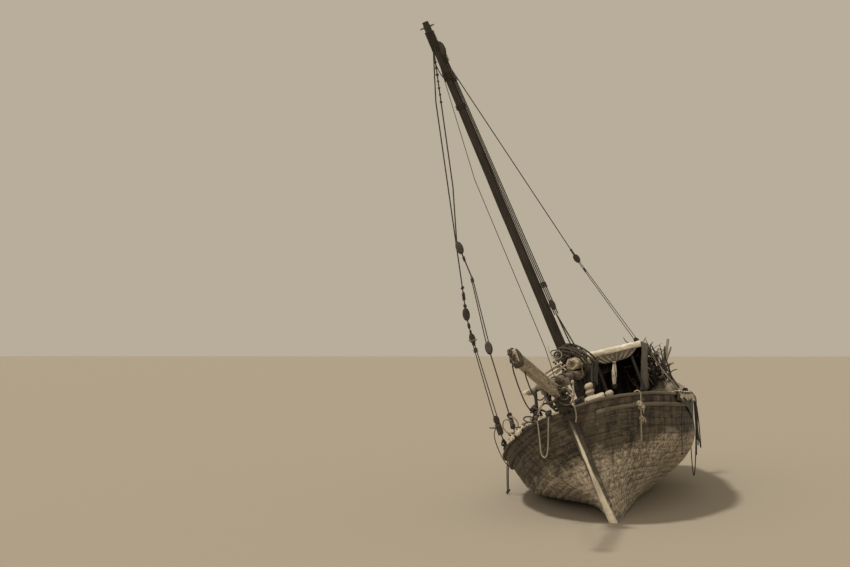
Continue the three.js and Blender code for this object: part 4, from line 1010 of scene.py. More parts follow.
def bulwarkRing(x, side):
    low, high = deckZ(x) + 0.001, railZ(x) - hull["railThickness"] - 0.001
    outer = [Vector((topsideY(x, low), low)), Vector((topsideY(x, high), high))]
    line = plankedLine(outer, hull["bulwarkStrakes"], x, 20 if side > 0 else 70)
    inner = []
    for i in range(9):
        z = high + (low - high) * i / 8
        inner.append(Vector((max(topsideY(x, z) - hull["bulwark"], 0.01), z)))
    return [(trueX(x, p.y), side * p.x, p.y) for p in line + inner]


def buildBulwarks():
    count = hull["bulwarkStrakes"] * len(strakeShape) + 1
    width = hullFinish["strakeWidth"] / len(strakeShape)
    for side, label in ((1, "port"), (-1, "starboard")):
        rings = [bulwarkRing(x, side) for x in stations(sternX, bowX, hull["step"])]

        def uvPlace(u, v, total=len(rings[0]), shift=0.0 if side > 0 else 1.3):
            index = round(v * total)
            x = sternX + (bowX - sternX) * u + shift
            if index < count:
                return x, (hull["strakes"] * len(strakeShape) + index) * width + (0 if side > 0 else 40) * hullFinish["strakeWidth"]
            return x, 30 * hullFinish["strakeWidth"] + (index - count) * 0.07

        piece = skinRings("bulwark" + label.title(), rings, uvPlace)
        smooth(piece, 50)
        finishPiece(piece, "hullPlanks", ["bulwark_" + label])


# Frame heads stand against the bulwarks inside.
ribs = {"from": -5.7, "to": 5.1, "spacing": 0.45, "width": 0.075, "depth": 0.06}


def buildRibs():
    made = []
    count = int((ribs["to"] - ribs["from"]) / ribs["spacing"])
    for i in range(count + 1):
        x = ribs["from"] + i * ribs["spacing"]
        raised = x > 2.5 or x < -3.0
        low = railZ(x) - hull["raisedDrop"] if raised else deckZ(x) + hull["deckThickness"]
        high = railZ(x) - hull["railThickness"]
        if high - low < 0.1:
            continue
        for side in (1, -1):
            ends = []
            for z in (low + 0.004, high - 0.004):
                inside = topsideY(x, z) - hull["bulwark"] - ribs["depth"] / 2 - 0.006
                ends.append((trueX(x, z), side * max(inside, 0.05), z))
            made.append(timberBar("rib", ends[0], ends[1], ribs["width"], ribs["depth"], 0.008, 0.006, 2,
                                  up=(1, 0, 0), seed=i + (0 if side > 0 else 90)))
    finishPiece(joinPieces("bulwarkRibs", made), "greyTimber")


buildHull()
buildBulwarks()
buildRibs()
print("hull planked")

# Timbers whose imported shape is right: node, new name, material, bevel, roughness, longest edge
dressed = (
    ("keel", "keelTimber", "hullPlanks", 0.012, 0.0, 0.0),
    ("stem_post", "stemTimber", "stemTimber", 0.014, 0.006, 0.12),
    ("sternpost", "sternpostTimber", "greyTimber", 0.010, 0.0, 0.0),
    ("transom", "transomPlanks", "sternPlanks", 0.008, 0.0, 0.0),
    ("rail_port", "railPort", "greyTimber", 0.010, 0.008, 0.25),
    # the starboard rail takes darkTimber, darker than the port rail's greyTimber: painted shade on the side turned from
    # the light
    ("rail_starboard", "railStarboard", "darkTimber", 0.010, 0.008, 0.25),
    ("rubbing_strake_port", "rubbingStrakePort", "greyTimber", 0.012, 0.007, 0.25),
    # the starboard rubbing strake takes darkTimber too: painted shade on the side turned from the light
    ("rubbing_strake_starboard", "rubbingStrakeStarboard", "darkTimber", 0.012, 0.007, 0.25),
    ("hatch_coaming", "hatchCoaming", "greyTimber", 0.010, 0.0, 0.0),
    ("bowsprit_board", "bowspritBoard", "bleachedTimber", 0.014, 0.012, 0.10),
    ("mast_step", "mastStep", "greyTimber", 0.010, 0.004, 0.12),
    ("mast_thwart", "mastThwart", "greyTimber", 0.012, 0.006, 0.15),
    ("yard_crutch_fore", "yardCrutchFore", "greyTimber", 0.010, 0.006, 0.12),
    ("yard_crutch_aft", "yardCrutchAft", "greyTimber", 0.010, 0.006, 0.12),
)
# The bowsprit board's inner end has crept towards the stem head.
boardWarp = {"from": 8.4, "to": 5.4, "aside": 0.12, "up": 0.06}


def boardShift(x):
    share = min(max((boardWarp["from"] - x) / (boardWarp["from"] - boardWarp["to"]), 0), 1)
    return Vector((0, boardWarp["aside"], boardWarp["up"])) * share


for node, name, material, bevel, rough, longest in dressed:
    piece = dressNode(node, name, bevel, rough, longest)
    if node == "bowsprit_board":
        for point in piece.data.vertices:
            point.co += toRow.to_3x3() @ boardShift(point.co.x)
    finishPiece(piece, material, [node])
print("timbers dressed")


# Round spars. The yard lies lowered along the deck, a shorter spar beside its fore part.
spars = {
    "mast": ((0.8956, -0.0498, 1.516, 0.122), (3.325, -0.151, 11.10, 0.068)),
    "yard": ((5.0, -0.41, 3.36, 0.056), (4.2, -0.24, 3.375, 0.066), (3.3, -0.06, 3.385, 0.078),
             (2.3, 0.07, 3.365, 0.086), (1.4, 0.17, 3.35, 0.09), (0.0, 0.33, 3.33, 0.092),
             (-2.5, 0.48, 3.32, 0.086), (-5.0, 0.56, 3.30, 0.066)),
    "spareSpar": ((5.3, -0.56, 3.312, 0.046), (4.2, -0.42, 3.362, 0.054), (2.75, -0.23, 3.38, 0.05)),
}


def mastPoint(z):
    foot, top = Vector(spars["mast"][0][:3]), Vector(spars["mast"][1][:3])
    return foot.lerp(top, (z - foot.z) / (top.z - foot.z))


def mastRadius(z):
    foot, top = spars["mast"]
    return foot[3] + (top[3] - foot[3]) * (z - foot[2]) / (top[2] - foot[2])


def yardAt(x):
    line = spars["yard"]
    i = 0
    while i < len(line) - 2 and line[i + 1][0] > x:
        i += 1
    t = (x - line[i][0]) / (line[i + 1][0] - line[i][0])
    return [a + (b - a) * t for a, b in zip(line[i], line[i + 1])]


def buildSpars():
    finishPiece(sparPiece("mastSpar", spars["mast"], 32, 0.10, 0.006), "sparTimber", ["mast"])
    finishPiece(sparPiece("yardSpar", spars["yard"], 28, 0.10, 0.008, seed=4), "stickTimber", ["yard"])
    finishPiece(sparPiece("spareSparPole", spars["spareSpar"], 24, 0.08, 0.007, seed=9), "stickTimber",
                ["spare_spar"])
    # rope turns at the masthead and on the spars
    made = [lashing("turns", mastPoint(10.48), mastPoint(10.90), mastRadius(10.7) + 0.004, 17, 0.013)]
    for z, turns in ((9.86, 7), (9.25, 4), (3.72, 6)):
        made.append(lashing("turns", mastPoint(z), mastPoint(z + turns * 0.024), mastRadius(z) + 0.004, turns, 0.012,
                            seed=turns))
    collar = joinPieces("mastheadTurns", made)
    finishPiece(collar, "darkRope", ["masthead_collar"])
    made = []
    for x, turns in ((4.05, 8), (3.55, 7), (2.85, 6), (-3.2, 5), (-4.4, 6)):
        a, b = yardAt(x), yardAt(x - turns * 0.022)
        made.append(lashing("turns", a[:3], b[:3], a[3] + 0.004, turns, 0.011, "brownRope", seed=turns + x))
    finishPiece(joinPieces("yardTurns", made), "brownRope")


# The sail is rolled on the yard and tied down with turns of rope.
sail = {
    "from": 2.4, "to": -4.5, "radius": 0.14, "sideStep": 0.025, "sink": 0.008, "step": 0.05, "sides": 44,
    "folds": 7, "foldDepth": 0.016, "rumple": 0.014, "tieSpacing": 0.62, "tieDepth": 0.018,
}


def rollAt(x):
    _, y, z, radius = yardAt(x)
    return y + sail["sideStep"], z + radius + sail["radius"] - sail["sink"]


def buildSail():
    rings = []
    xs = stations(sail["to"], sail["from"], sail["step"])[::-1]
    for x in xs:
        y, z = rollAt(x)
        fromTie = abs(((sail["from"] - 0.16 - x) / sail["tieSpacing"] + 0.5) % 1 - 0.5) * sail["tieSpacing"]
        pinch = sail["tieDepth"] * math.exp(-(fromTie / 0.07) ** 2)
        ring = []
        for k in range(sail["sides"]):
            angle = 2 * math.pi * k / sail["sides"]
            twist = angle + 0.9 * x
            fold = sail["foldDepth"] * (0.5 + 0.5 * math.cos(sail["folds"] * twist + 2 * noise.noise((x * 1.3, 0, 0))))
            rumple = sail["rumple"] * noise.noise((x * 4, 2.2 * math.cos(angle), 2.2 * math.sin(angle)))
            reach = sail["radius"] - fold - pinch + rumple
            lift = max(0.0, -math.sin(angle)) * 0.03
            ring.append((x, y + reach * math.cos(angle), z + reach * math.sin(angle) + lift))
        rings.append(ring)
    # the fore end is tucked into itself, with a hollow in the middle
    y, z = rollAt(sail["from"])
    end = rings[0]
    for share, depth in ((0.92, 0.03), (0.72, 0.045), (0.5, 0.02), (0.34, -0.03), (0.2, -0.10)):
        rings.insert(0, [(sail["from"] + depth + 0.012 * noise.noise((p[1] * 20, p[2] * 20, share * 3)),
                          y + (p[1] - y) * share, z + (p[2] - z) * share) for p in end])
    piece = skinRings("furledSail", rings, lambda u, v: (u * 7.1, v * 0.9))
    finishPiece(piece, "sailCloth", ["furled_sail"])
    made = []
    x, i = sail["from"] - 0.16, 0
    while x > sail["to"] + 0.2:
        y, z = rollAt(x)
        _, yYard, zYard, radius = yardAt(x)
        centreY, centreZ = (y + yYard) / 2, (z + zYard) / 2 + 0.03
        tall = (z + sail["radius"] - (zYard - radius)) / 2 + 0.002
        turns = 4 if x > 1.6 else 2
        path = []
        for step in range(turns * 22 + 1):
            angle = 2 * math.pi * step / 22
            path.append(Vector((x + 0.05 * math.sin(angle) - 0.032 * step / 22,
                                centreY + (sail["radius"] - 0.012) * math.cos(angle),
                                centreZ - 0.01 + tall * math.sin(angle))))
        made.append(ropeAlong("tie", path, 0.010, "paleRope" if i % 3 == 0 else "brownRope"))
        x -= sail["tieSpacing"] if x < 1.7 else sail["tieSpacing"] / 2
        i += 1
    finishPiece(joinPieces("sailTies", made), "")


buildSpars()
buildSail()
print("spars and furled sail made")

# The awning: one sheet over the furled sail, its hanging side and inner faces darkened as painted shade, a dark curtain
# behind as painted shade, and a gathered valance in front in a darker cloth as painted shade.
awning = {
    "from": -3.06, "to": 1.08, "outerY": 1.5, "outerZ": 3.57, "clear": 0.022, "sag": 0.055, "flap": 0.78, "wall": 1.05,
    "frames": (-2.9, 1.0), "columns": 76, "rows": 60, "thickness": 0.006, "hemRadius": 0.05,
}


def plumbBelow(point, length):
    return Vector((point[0] - length * math.sin(heelAngle), point[1] - length * math.cos(heelAngle)))


def roofZ(x, y):
    yRoll, zRoll = rollAt(x)
    crown = zRoll + sail["radius"] + awning["clear"]
    return crown + (awning["outerZ"] - crown) * (y - yRoll) / (awning["outerY"] - yRoll)


def awningLine(x):
    middle = (awning["frames"][0] + awning["frames"][1]) / 2
    half = (awning["frames"][1] - awning["frames"][0]) / 2
    sag = awning["sag"] * max(1 - ((x - middle) / half) ** 2, 0)
    yRoll, zRoll = rollAt(x)
    reach = sail["radius"] + awning["clear"]
    head = Vector((yRoll - reach, zRoll))
    line = [plumbBelow(head, awning["flap"]), head]
    for degrees in (160, 140, 120, 100):
        angle = math.radians(degrees)
        line.append(Vector((yRoll + reach * math.cos(angle), zRoll + reach * math.sin(angle))))
    for i in range(9):
        t = i / 8
        y = yRoll + (awning["outerY"] - yRoll) * t
        line.append(Vector((y, roofZ(x, y) - sag * math.sin(math.pi * t))))
    line.append(plumbBelow(line[-1], awning["wall"]))
    return line


def alongLine(line, share):
    target = pathLength(line) * share
    for a, b in zip(line, line[1:]):
        length = (b - a).length
        if target <= length:
            tangent = (b - a).normalized()
            return a.lerp(b, target / length), Vector((-tangent.y, tangent.x))
        target -= length
    tangent = (line[-1] - line[-2]).normalized()
    return line[-1].copy(), Vector((-tangent.y, tangent.x))


def buildAwning():
    lines = {}

    def place(u, v):
        x = awning["from"] + (awning["to"] - awning["from"]) * u
        key = round(u * awning["columns"])
        if key not in lines:
            lines[key] = awningLine(x)
        point, out = alongLine(lines[key], v)
        hanging = max(0.0, (v - 0.70) / 0.30) + max(0.0, (0.17 - v) / 0.17)
        fold = 0.040 * hanging * math.sin(x * 11 + 3 * noise.noise((x * 1.5, v * 2, 0)))
        crease = 0.020 * noise.noise((x * 3.0, v * 7, 4)) + 0.006 * noise.noise((x * 11, v * 19, 2))
        ragged = 0.03 * noise.noise((x * 5, 0, 9)) * (1 if v > 0.99 or v < 0.01 else 0)
        point = point + out * (fold + abs(crease))
        return toRow @ Vector((x, point.x, point.y + ragged))

    sheet = formGrid("awningSheet", awning["columns"], awning["rows"], place, lambda u, v: (u * 4.14, v * 3.2))
    smooth(sheet, 70)
    # the roof is pale cloth; the hanging side takes a darker cloth and every inner face a near black one, as painted
    # shade under the awning
    for name in ("awningCloth", "awningShadeCloth", "darkCloth", "darkCloth"):
        sheet.data.materials.append(materials[name])
    for i, face in enumerate(sheet.data.polygons):
        face.material_index = 1 if i // awning["columns"] >= awning["rows"] * 0.66 else 0
    applyModifier(sheet, "SOLIDIFY", thickness=awning["thickness"], offset=-1.0, use_even_offset=False,
                  material_offset=2)
    finishPiece(sheet, "", ["awning"])
    sheetLength = pathLength(awningLine(-0.9))

    # curtain closing the after end: a dark sheet as painted shade under the awning
    def placeCurtain(u, v):
        x = awning["from"] + 0.02
        yRoll, zRoll = rollAt(x)
        port = plumbBelow((awning["outerY"] - 0.01, awning["outerZ"]), awning["wall"] * v)
        starboard = plumbBelow((yRoll - 0.13, zRoll), awning["flap"] * 1.7 * v)
        roofY = yRoll - 0.13 + (awning["outerY"] - 0.01 - yRoll + 0.13) * u
        top = roofZ(x, roofY) - 0.02 if roofY > yRoll else zRoll + 0.05
        y = starboard.x + (port.x - starboard.x) * u
        foot = starboard.y + (port.y - starboard.y) * u
        z = top + (foot - top) * v if v else top
        ripple = 0.03 * math.sin(u * 31 + 2 * noise.noise((u * 4, v * 2, 1))) * (0.3 + v)
        return toRow @ Vector((x + 0.03 + ripple, y, z))

    curtain = formGrid("awningShadeCurtain", 48, 24, placeCurtain, lambda u, v: (u * 1.3, v * 1.0))
    smooth(curtain, 70)
    applyModifier(curtain, "SOLIDIFY", thickness=0.006, offset=0.0)
    finishPiece(curtain, "darkCloth")


buildAwning()

valance = {"knot": (0.84, 3.35), "width": (0.30, 1.46), "fans": 15, "depth": 0.028}


def buildValance():
    # Cloth drawn from the fore edge of the roof to one knot, in a fan of folds.
    x0 = awning["to"] - 0.01
    yStart, yEnd = valance["width"]
    knotY, knotZ = valance["knot"]

    def place(u, v):
        y = yStart + (yEnd - yStart) * u
        top = Vector((y, roofZ(x0, y) - 0.015))
        sideways = (u - 0.5) * 2
        rest = Vector((knotY + sideways * 0.05, knotZ + 0.02 * abs(sideways)))
        gatherShare = v ** 0.85
        point = top.lerp(rest, gatherShare)
        swag = math.sin(math.pi * v) * (0.055 + 0.06 * abs(sideways))
        point.y -= swag * (1 - 0.4 * v)
        fold = valance["depth"] * math.sin(u * math.pi * valance["fans"]) * (0.25 + 0.75 * math.sin(math.pi * min(v * 0.85 + 0.08, 1)))
        rumple = 0.018 * noise.noise((u * 9, v * 5, 3))
        bulge = 0.05 * math.sin(math.pi * v)
        return toRow @ Vector((x0 + 0.012 + fold + rumple + bulge * 0.6, point.x, point.y))

    cloth = formGrid("awningValance", 90, 22, place, lambda u, v: (u * 1.25, v * 0.35))
    smooth(cloth, 75)
    applyModifier(cloth, "SOLIDIFY", thickness=0.005, offset=0.0)
    # the valance takes a darker cloth than the roof: painted shade under the roof's fore edge
    finishPiece(cloth, "valanceShadeCloth")
    # rolled fore hem, bright where the sun falls on it
    rings = []
    ys = stations(0.14, 1.47, 0.03)
    for y in ys:
        yRoll, _ = rollAt(x0)
        z = roofZ(x0, max(y, yRoll))
        if y < yRoll:
            z -= 0.06 * (yRoll - y) / 0.2
        ring = []
        for k in range(16):
            angle = 2 * math.pi * k / 16
            reach = awning["hemRadius"] * (1 + 0.16 * noise.noise((y * 9, math.cos(angle) * 1.5, math.sin(angle) * 1.5)))
            ring.append((x0 + 0.03 + reach * 0.8 * math.cos(angle), y + 0.01 * math.sin(angle),
                         z - 0.035 + reach * 1.25 * math.sin(angle)))
        rings.append(ring)
    hem = skinRings("awningHem", rings, lambda u, v: (u * 1.33, v * 0.32))
    finishPiece(hem, "awningCloth")


buildValance()
print("awning made")

# Ropes that hang free, in level axes: rope radius, material, and points from one end to the other.
ropes = {
    "bowSlackUpper": {
        "node": "cord_bow_slack_upper", "radius": 0.012, "material": "darkRope",
        "points": (
            (8.05, -1.39, 2.726), (7.92, -1.385, 2.63), (7.78, -1.38, 2.56), (7.64, -1.375, 2.49),
            (7.49, -1.37, 2.43), (7.35, -1.365, 2.375), (7.2, -1.36, 2.33), (7.04, -1.35, 2.29),
            (6.89, -1.345, 2.26), (6.73, -1.34, 2.24), (6.58, -1.335, 2.23), (6.42, -1.33, 2.23),
            (6.26, -1.325, 2.24), (6.11, -1.32, 2.255), (5.95, -1.315, 2.285), (5.8, -1.31, 2.32),
        ),
    },
    "bowSlackLower": {
        "node": "cord_bow_slack_lower", "radius": 0.012, "material": "darkRope",
        "points": (
            (8.52, -1.516, 2.823), (8.32, -1.522, 2.712), (8.12, -1.518, 2.61), (7.92, -1.515, 2.51),
            (7.71, -1.512, 2.42), (7.5, -1.508, 2.33), (7.29, -1.505, 2.25), (7.07, -1.502, 2.18),
            (6.85, -1.498, 2.12), (6.63, -1.494, 2.07), (6.41, -1.49, 2.022), (6.18, -1.487, 1.982),
            (5.96, -1.483, 1.95), (5.73, -1.48, 1.93), (5.51, -1.476, 1.915), (5.285, -1.473, 1.908),
        ),
    },
    "bowBight": {
        "node": "cord_bow_bight", "radius": 0.015, "material": "paleRope",
        "points": (
            (5.42, -1.324, 1.883), (5.42, -1.326, 1.79), (5.42, -1.328, 1.69), (5.418, -1.33, 1.58),
            (5.414, -1.333, 1.47), (5.408, -1.338, 1.37), (5.398, -1.347, 1.28), (5.38, -1.368, 1.205),
            (5.352, -1.405, 1.168), (5.325, -1.447, 1.192), (5.308, -1.474, 1.262), (5.298, -1.485, 1.35),
            (5.292, -1.496, 1.45), (5.288, -1.507, 1.56), (5.284, -1.52, 1.67), (5.278, -1.532, 1.75),
            (5.276, -1.544, 1.813),
        ),
    },
    "portBight": {
        "node": "cord_port_bight", "radius": 0.013, "material": "darkRope", "ease": 2,
        "points": (
            (0.3, 1.01, 2.127), (0.3, 1.095, 2.174), (0.3, 1.15, 2.192), (0.3, 1.182, 2.168),
            (0.3, 1.202, 2.11), (0.3, 1.218, 1.985), (0.3, 1.23, 1.91), (0.295, 1.241, 1.78),
            (0.24, 1.252, 1.64), (0.16, 1.256, 1.5), (0.06, 1.254, 1.33), (-0.08, 1.25, 1.06),
            (-0.26, 1.244, 0.8), (-0.47, 1.234, 0.57), (-0.72, 1.22, 0.39), (-1.01, 1.205, 0.29),
            (-1.31, 1.192, 0.29), (-1.6, 1.178, 0.41), (-1.85, 1.165, 0.59), (-2.05, 1.152, 0.83),
            (-2.22, 1.14, 1.08), (-2.37, 1.125, 1.36), (-2.49, 1.095, 1.64), (-2.57, 1.062, 1.85),
            (-2.6, 1.04, 2), (-2.6, 1.02, 2.12), (-2.6, 0.985, 2.176), (-2.6, 0.935, 2.192),
            (-2.6, 0.843, 2.146),
        ),
    },
    "portLoopOuter": {
        "node": "cord_port_loop_outer", "radius": 0.013, "material": "darkRope",
        "points": (
            (0.1, 1.01, 2.116), (0.1, 1.102, 2.166), (0.1, 1.166, 2.184), (0.1, 1.206, 2.14),
            (0.098, 1.24, 2.06), (0.095, 1.262, 1.96), (0.085, 1.285, 1.82), (0.075, 1.305, 1.65),
            (0.065, 1.322, 1.48), (0.05, 1.335, 1.31), (0.025, 1.345, 1.16), (-0.03, 1.352, 1.05),
            (-0.11, 1.355, 0.985), (-0.2, 1.35, 0.985), (-0.285, 1.34, 1.05), (-0.34, 1.322, 1.16),
            (-0.365, 1.302, 1.31), (-0.38, 1.285, 1.48), (-0.39, 1.27, 1.65), (-0.395, 1.255, 1.82),
            (-0.4, 1.24, 1.96), (-0.4, 1.215, 2.075), (-0.4, 1.18, 2.15), (-0.4, 1.13, 2.178),
            (-0.4, 1.07, 2.16), (-0.4, 0.985, 2.114),
        ),
    },
    "portLoopInner": {
        "node": "cord_port_loop_inner", "radius": 0.013, "material": "darkRope", "ease": 3,
        "points": (
            (0.62, 1.01, 2.131), (0.62, 1.104, 2.18), (0.62, 1.17, 2.192), (0.62, 1.202, 2.14),
            (0.62, 1.222, 1.985), (0.618, 1.235, 1.9), (0.615, 1.247, 1.74), (0.612, 1.256, 1.56),
            (0.608, 1.258, 1.38), (0.602, 1.258, 1.2), (0.593, 1.258, 1.04), (0.572, 1.258, 0.925),
            (0.503, 1.258, 0.868), (0.434, 1.258, 0.925), (0.41, 1.258, 1.04), (0.4, 1.258, 1.2),
            (0.392, 1.258, 1.38), (0.387, 1.256, 1.56), (0.384, 1.248, 1.74), (0.382, 1.238, 1.9),
            (0.38, 1.224, 1.985), (0.38, 1.202, 2.14), (0.38, 1.17, 2.188), (0.38, 1.104, 2.178),
            (0.38, 1.01, 2.138),
        ),
    },
    "starboardTailFore": {
        "node": "cord_starboard_tail_fore", "radius": 0.013, "material": "darkRope", "knot": 0.045,
        "points": (
            (1.12, -2.692, 0.73), (1.122, -2.703, 0.68), (1.124, -2.709, 0.63), (1.125, -2.711, 0.58),
            (1.125, -2.712, 0.53), (1.124, -2.713, 0.48), (1.122, -2.714, 0.43), (1.12, -2.714, 0.38),
            (1.118, -2.714, 0.33), (1.117, -2.713, 0.28), (1.116, -2.712, 0.23), (1.116, -2.711, 0.18),
            (1.117, -2.71, 0.13), (1.118, -2.709, 0.085), (1.12, -2.708, 0.045),
        ),
    },
    "starboardTailAft": {
        "node": "cord_starboard_tail_aft", "radius": 0.013, "material": "darkRope", "knot": 0.045,
        "points": (
            (0.9, -2.692, 0.727), (0.898, -2.704, 0.68), (0.896, -2.711, 0.63), (0.894, -2.714, 0.58),
            (0.892, -2.716, 0.53), (0.891, -2.718, 0.48), (0.89, -2.719, 0.43), (0.89, -2.72, 0.38),
            (0.891, -2.72, 0.33), (0.892, -2.719, 0.28), (0.894, -2.718, 0.23), (0.896, -2.716, 0.18),
            (0.898, -2.714, 0.135), (0.9, -2.712, 0.095), (0.902, -2.71, 0.06),
        ),
    },
    "portFender": {
        "node": "cord_port_fender", "radius": 0.014, "material": "paleRope", "knot": 0.05, "ease": 5,
        "points": (
            (4.55, 0.137, 2.316), (4.55, 0.186, 2.346), (4.55, 0.224, 2.338), (4.55, 0.248, 2.31),
            (4.55, 0.256, 2.27), (4.55, 0.256, 2.19), (4.55, 0.256, 2.11), (4.552, 0.258, 2.04), (4.555, 0.258, 1.96),
            (4.562, 0.257, 1.88), (4.574, 0.256, 1.81), (4.59, 0.256, 1.73), (4.607, 0.257, 1.64),
            (4.617, 0.258, 1.56), (4.615, 0.259, 1.49), (4.594, 0.26, 1.432), (4.55, 0.26, 1.41),
            (4.506, 0.26, 1.432), (4.485, 0.259, 1.49), (4.483, 0.258, 1.56), (4.491, 0.257, 1.64),
            (4.504, 0.256, 1.71), (4.518, 0.256, 1.77),
        ),
    },
}


def hangRope(name, entry):
    path = easedPath(smoothPath(entry["points"], ropeShape["step"] * entry["radius"]), entry.get("ease", 0))
    piece = ropeAlong(name, path, entry["radius"], entry["material"], level)
    finishPiece(piece, "", [entry["node"]])
    tuple(entry["points"][0])
    round(pathLength(path), 2)
    return piece


def buildHangingRopes():
    for name, entry in ropes.items():
        if entry.get("knot"):
            end = Vector(entry["points"][-1])
            ball = knot(name + "Knot", end, entry["knot"], entry["radius"] * 0.95, entry["material"], 0.5, level)
            finishPiece(ball, "")
            hangRope(name, entry)
        else:
            hangRope(name, entry)


buildHangingRopes()
print("hanging ropes made")


# Taut rigging: rope radius, points from the masthead down, and what is bent on to each stretch.
# A block, wrap or knot is given as stretch, share along it, length, half width.
rigging = {
    "shroudAft": {
        "node": "shroud_starboard_aft", "radius": 0.015,
        "points": ((3.223, -0.147, 10.70), (2.98, -0.56, 9.57), (1.92, -1.69, 5.30), (1.78, -1.77, 4.70),
                   (1.33, -1.96, 2.95), (1.02, -2.022, 2.26)),
        "double": {3: 0.036},
        "blocks": ((1, 0.985, 0.25, 0.062), (2, 0.75, 0.20, 0.05), (3, 0.93, 0.17, 0.05)),
        "wraps": ((1, 0.90, 0.16, 0.040), (2, 0.30, 0.10, 0.034), (2, 0.52, 0.07, 0.030), (3, 0.06, 0.08, 0.05),
                  (4, 0.10, 0.26, 0.070), (4, 0.86, 0.12, 0.045), (0, 0.10, 0.16, 0.030)),
        "knots": ((1, 0.86, 0.052), (1, 0.945, 0.055), (2, 0.95, 0.05), (4, 0.62, 0.115), (4, 0.74, 0.10),
                  (4, 0.95, 0.085), (4, 0.50, 0.06)),
    },
    "shroudFore": {
        "node": "shroud_starboard_fore", "radius": 0.015,
        "points": ((3.23, -0.147, 10.74), (3.33, -0.80, 7.72), (3.42, -1.10, 6.66), (3.50, -1.06, 5.87),
                   (3.90, -1.18, 4.35), (4.46, -1.18, 2.735)),
        "double": {3: 0.026},
        "blocks": ((2, 0.2, 0.24, 0.058), (3, 0.96, 0.24, 0.058)),
        "wraps": ((0, 0.04, 0.14, 0.028), (2, 0.5, 0.10, 0.030), (4, 0.86, 0.20, 0.048), (3, 0.05, 0.08, 0.036)),
        "knots": ((0, 0.16, 0.040), (0, 0.20, 0.036), (0, 0.245, 0.042), (0, 0.29, 0.036), (0, 0.335, 0.040),
                  (0, 0.38, 0.034), (0, 0.43, 0.042), (4, 0.80, 0.075), (4, 0.93, 0.07)),
    },
    "backstay": {
        "node": "backstay_port", "radius": 0.012,
        "points": ((3.215, -0.146, 10.67), (-1.73, 0.72, 5.93), (-3.58, 1.28, 3.63), (-4.48, 1.455, 2.52)),
        "double": {1: 0.03},
        "blocks": ((0, 0.985, 0.26, 0.055), (1, 0.96, 0.22, 0.05)),
        "wraps": ((0, 0.955, 0.12, 0.026), (1, 0.1, 0.10, 0.03), (2, 0.2, 0.14, 0.03), (2, 0.85, 0.14, 0.045)),
        "knots": ((0, 0.94, 0.04), (2, 0.80, 0.06)),
    },
    "forestay": {
        "node": "forestay", "radius": 0.008,
        "points": ((3.24, -0.149, 10.76), (4.12, -0.25, 7.52), (5.33, 0.0, 3.96), (5.69, 0.0, 3.124)),
        "double": {}, "blocks": (), "wraps": ((2, 0.86, 0.10, 0.03), (0, 0.03, 0.10, 0.024)), "knots": ((2, 0.75, 0.04),),
    },
}
block = {"cheek": 0.36, "gap": 0.30, "sheave": 0.62, "pin": 0.16, "strop": 0.011}


def pulleyBlock(centre, ahead, across, length, half):
    # An oval shell of two cheeks with a sheave and pin between them and a rope strop round it.
    ahead = ahead.normalized()
    face = ahead.cross(across).normalized()
    across = face.cross(ahead)
    turn = Matrix((across, face, ahead)).transposed()
    wood = []
    for side in (-1, 1):
        deselectAll()
        bpy.ops.mesh.primitive_uv_sphere_add(segments=20, ring_count=14, radius=1.0)
        cheek = bpy.context.object
        for point in cheek.data.vertices:
            co = point.co
            flat = min(max(co.y * side, -0.35), 0.8)
            shaped = Vector((co.x * half * (1 + 0.1 * co.z), (flat * block["cheek"] + block["gap"] * 1.25) * side * half,
                             co.z * length / 2))
            point.co = toRow @ (centre + turn @ shaped)
        smooth(cheek, 45)
        wood.append(cheek)
    for radius, depth in ((block["sheave"] * half, 0.42 * half), (block["pin"] * half, 1.5 * half)):
        deselectAll()
        bpy.ops.mesh.primitive_cylinder_add(vertices=18, radius=radius, depth=depth)
        wheel = bpy.context.object
        turned = Matrix.Rotation(math.radians(90), 3, "X")
        for point in wheel.data.vertices:
            point.co = toRow @ (centre + turn @ (turned @ point.co))
        smooth(wheel, 40)
        wood.append(wheel)
    for piece in wood:
        piece.data.materials.append(materials["darkTimber"])
    path = []
    for i in range(41):
        angle = 2 * math.pi * i / 40
        reach = half + block["strop"] * 0.6
        tall = length / 2 + block["strop"] * 0.6
        path.append(centre + across * (reach * math.sin(angle)) + ahead * (tall * math.cos(angle)))
    strop = ropeAlong("strop", path, block["strop"], "darkRope")
    return wood, strop


def alongStretch(points, stretch, share):
    a, b = Vector(points[stretch]), Vector(points[stretch + 1])
    return a.lerp(b, share), (b - a).normalized()


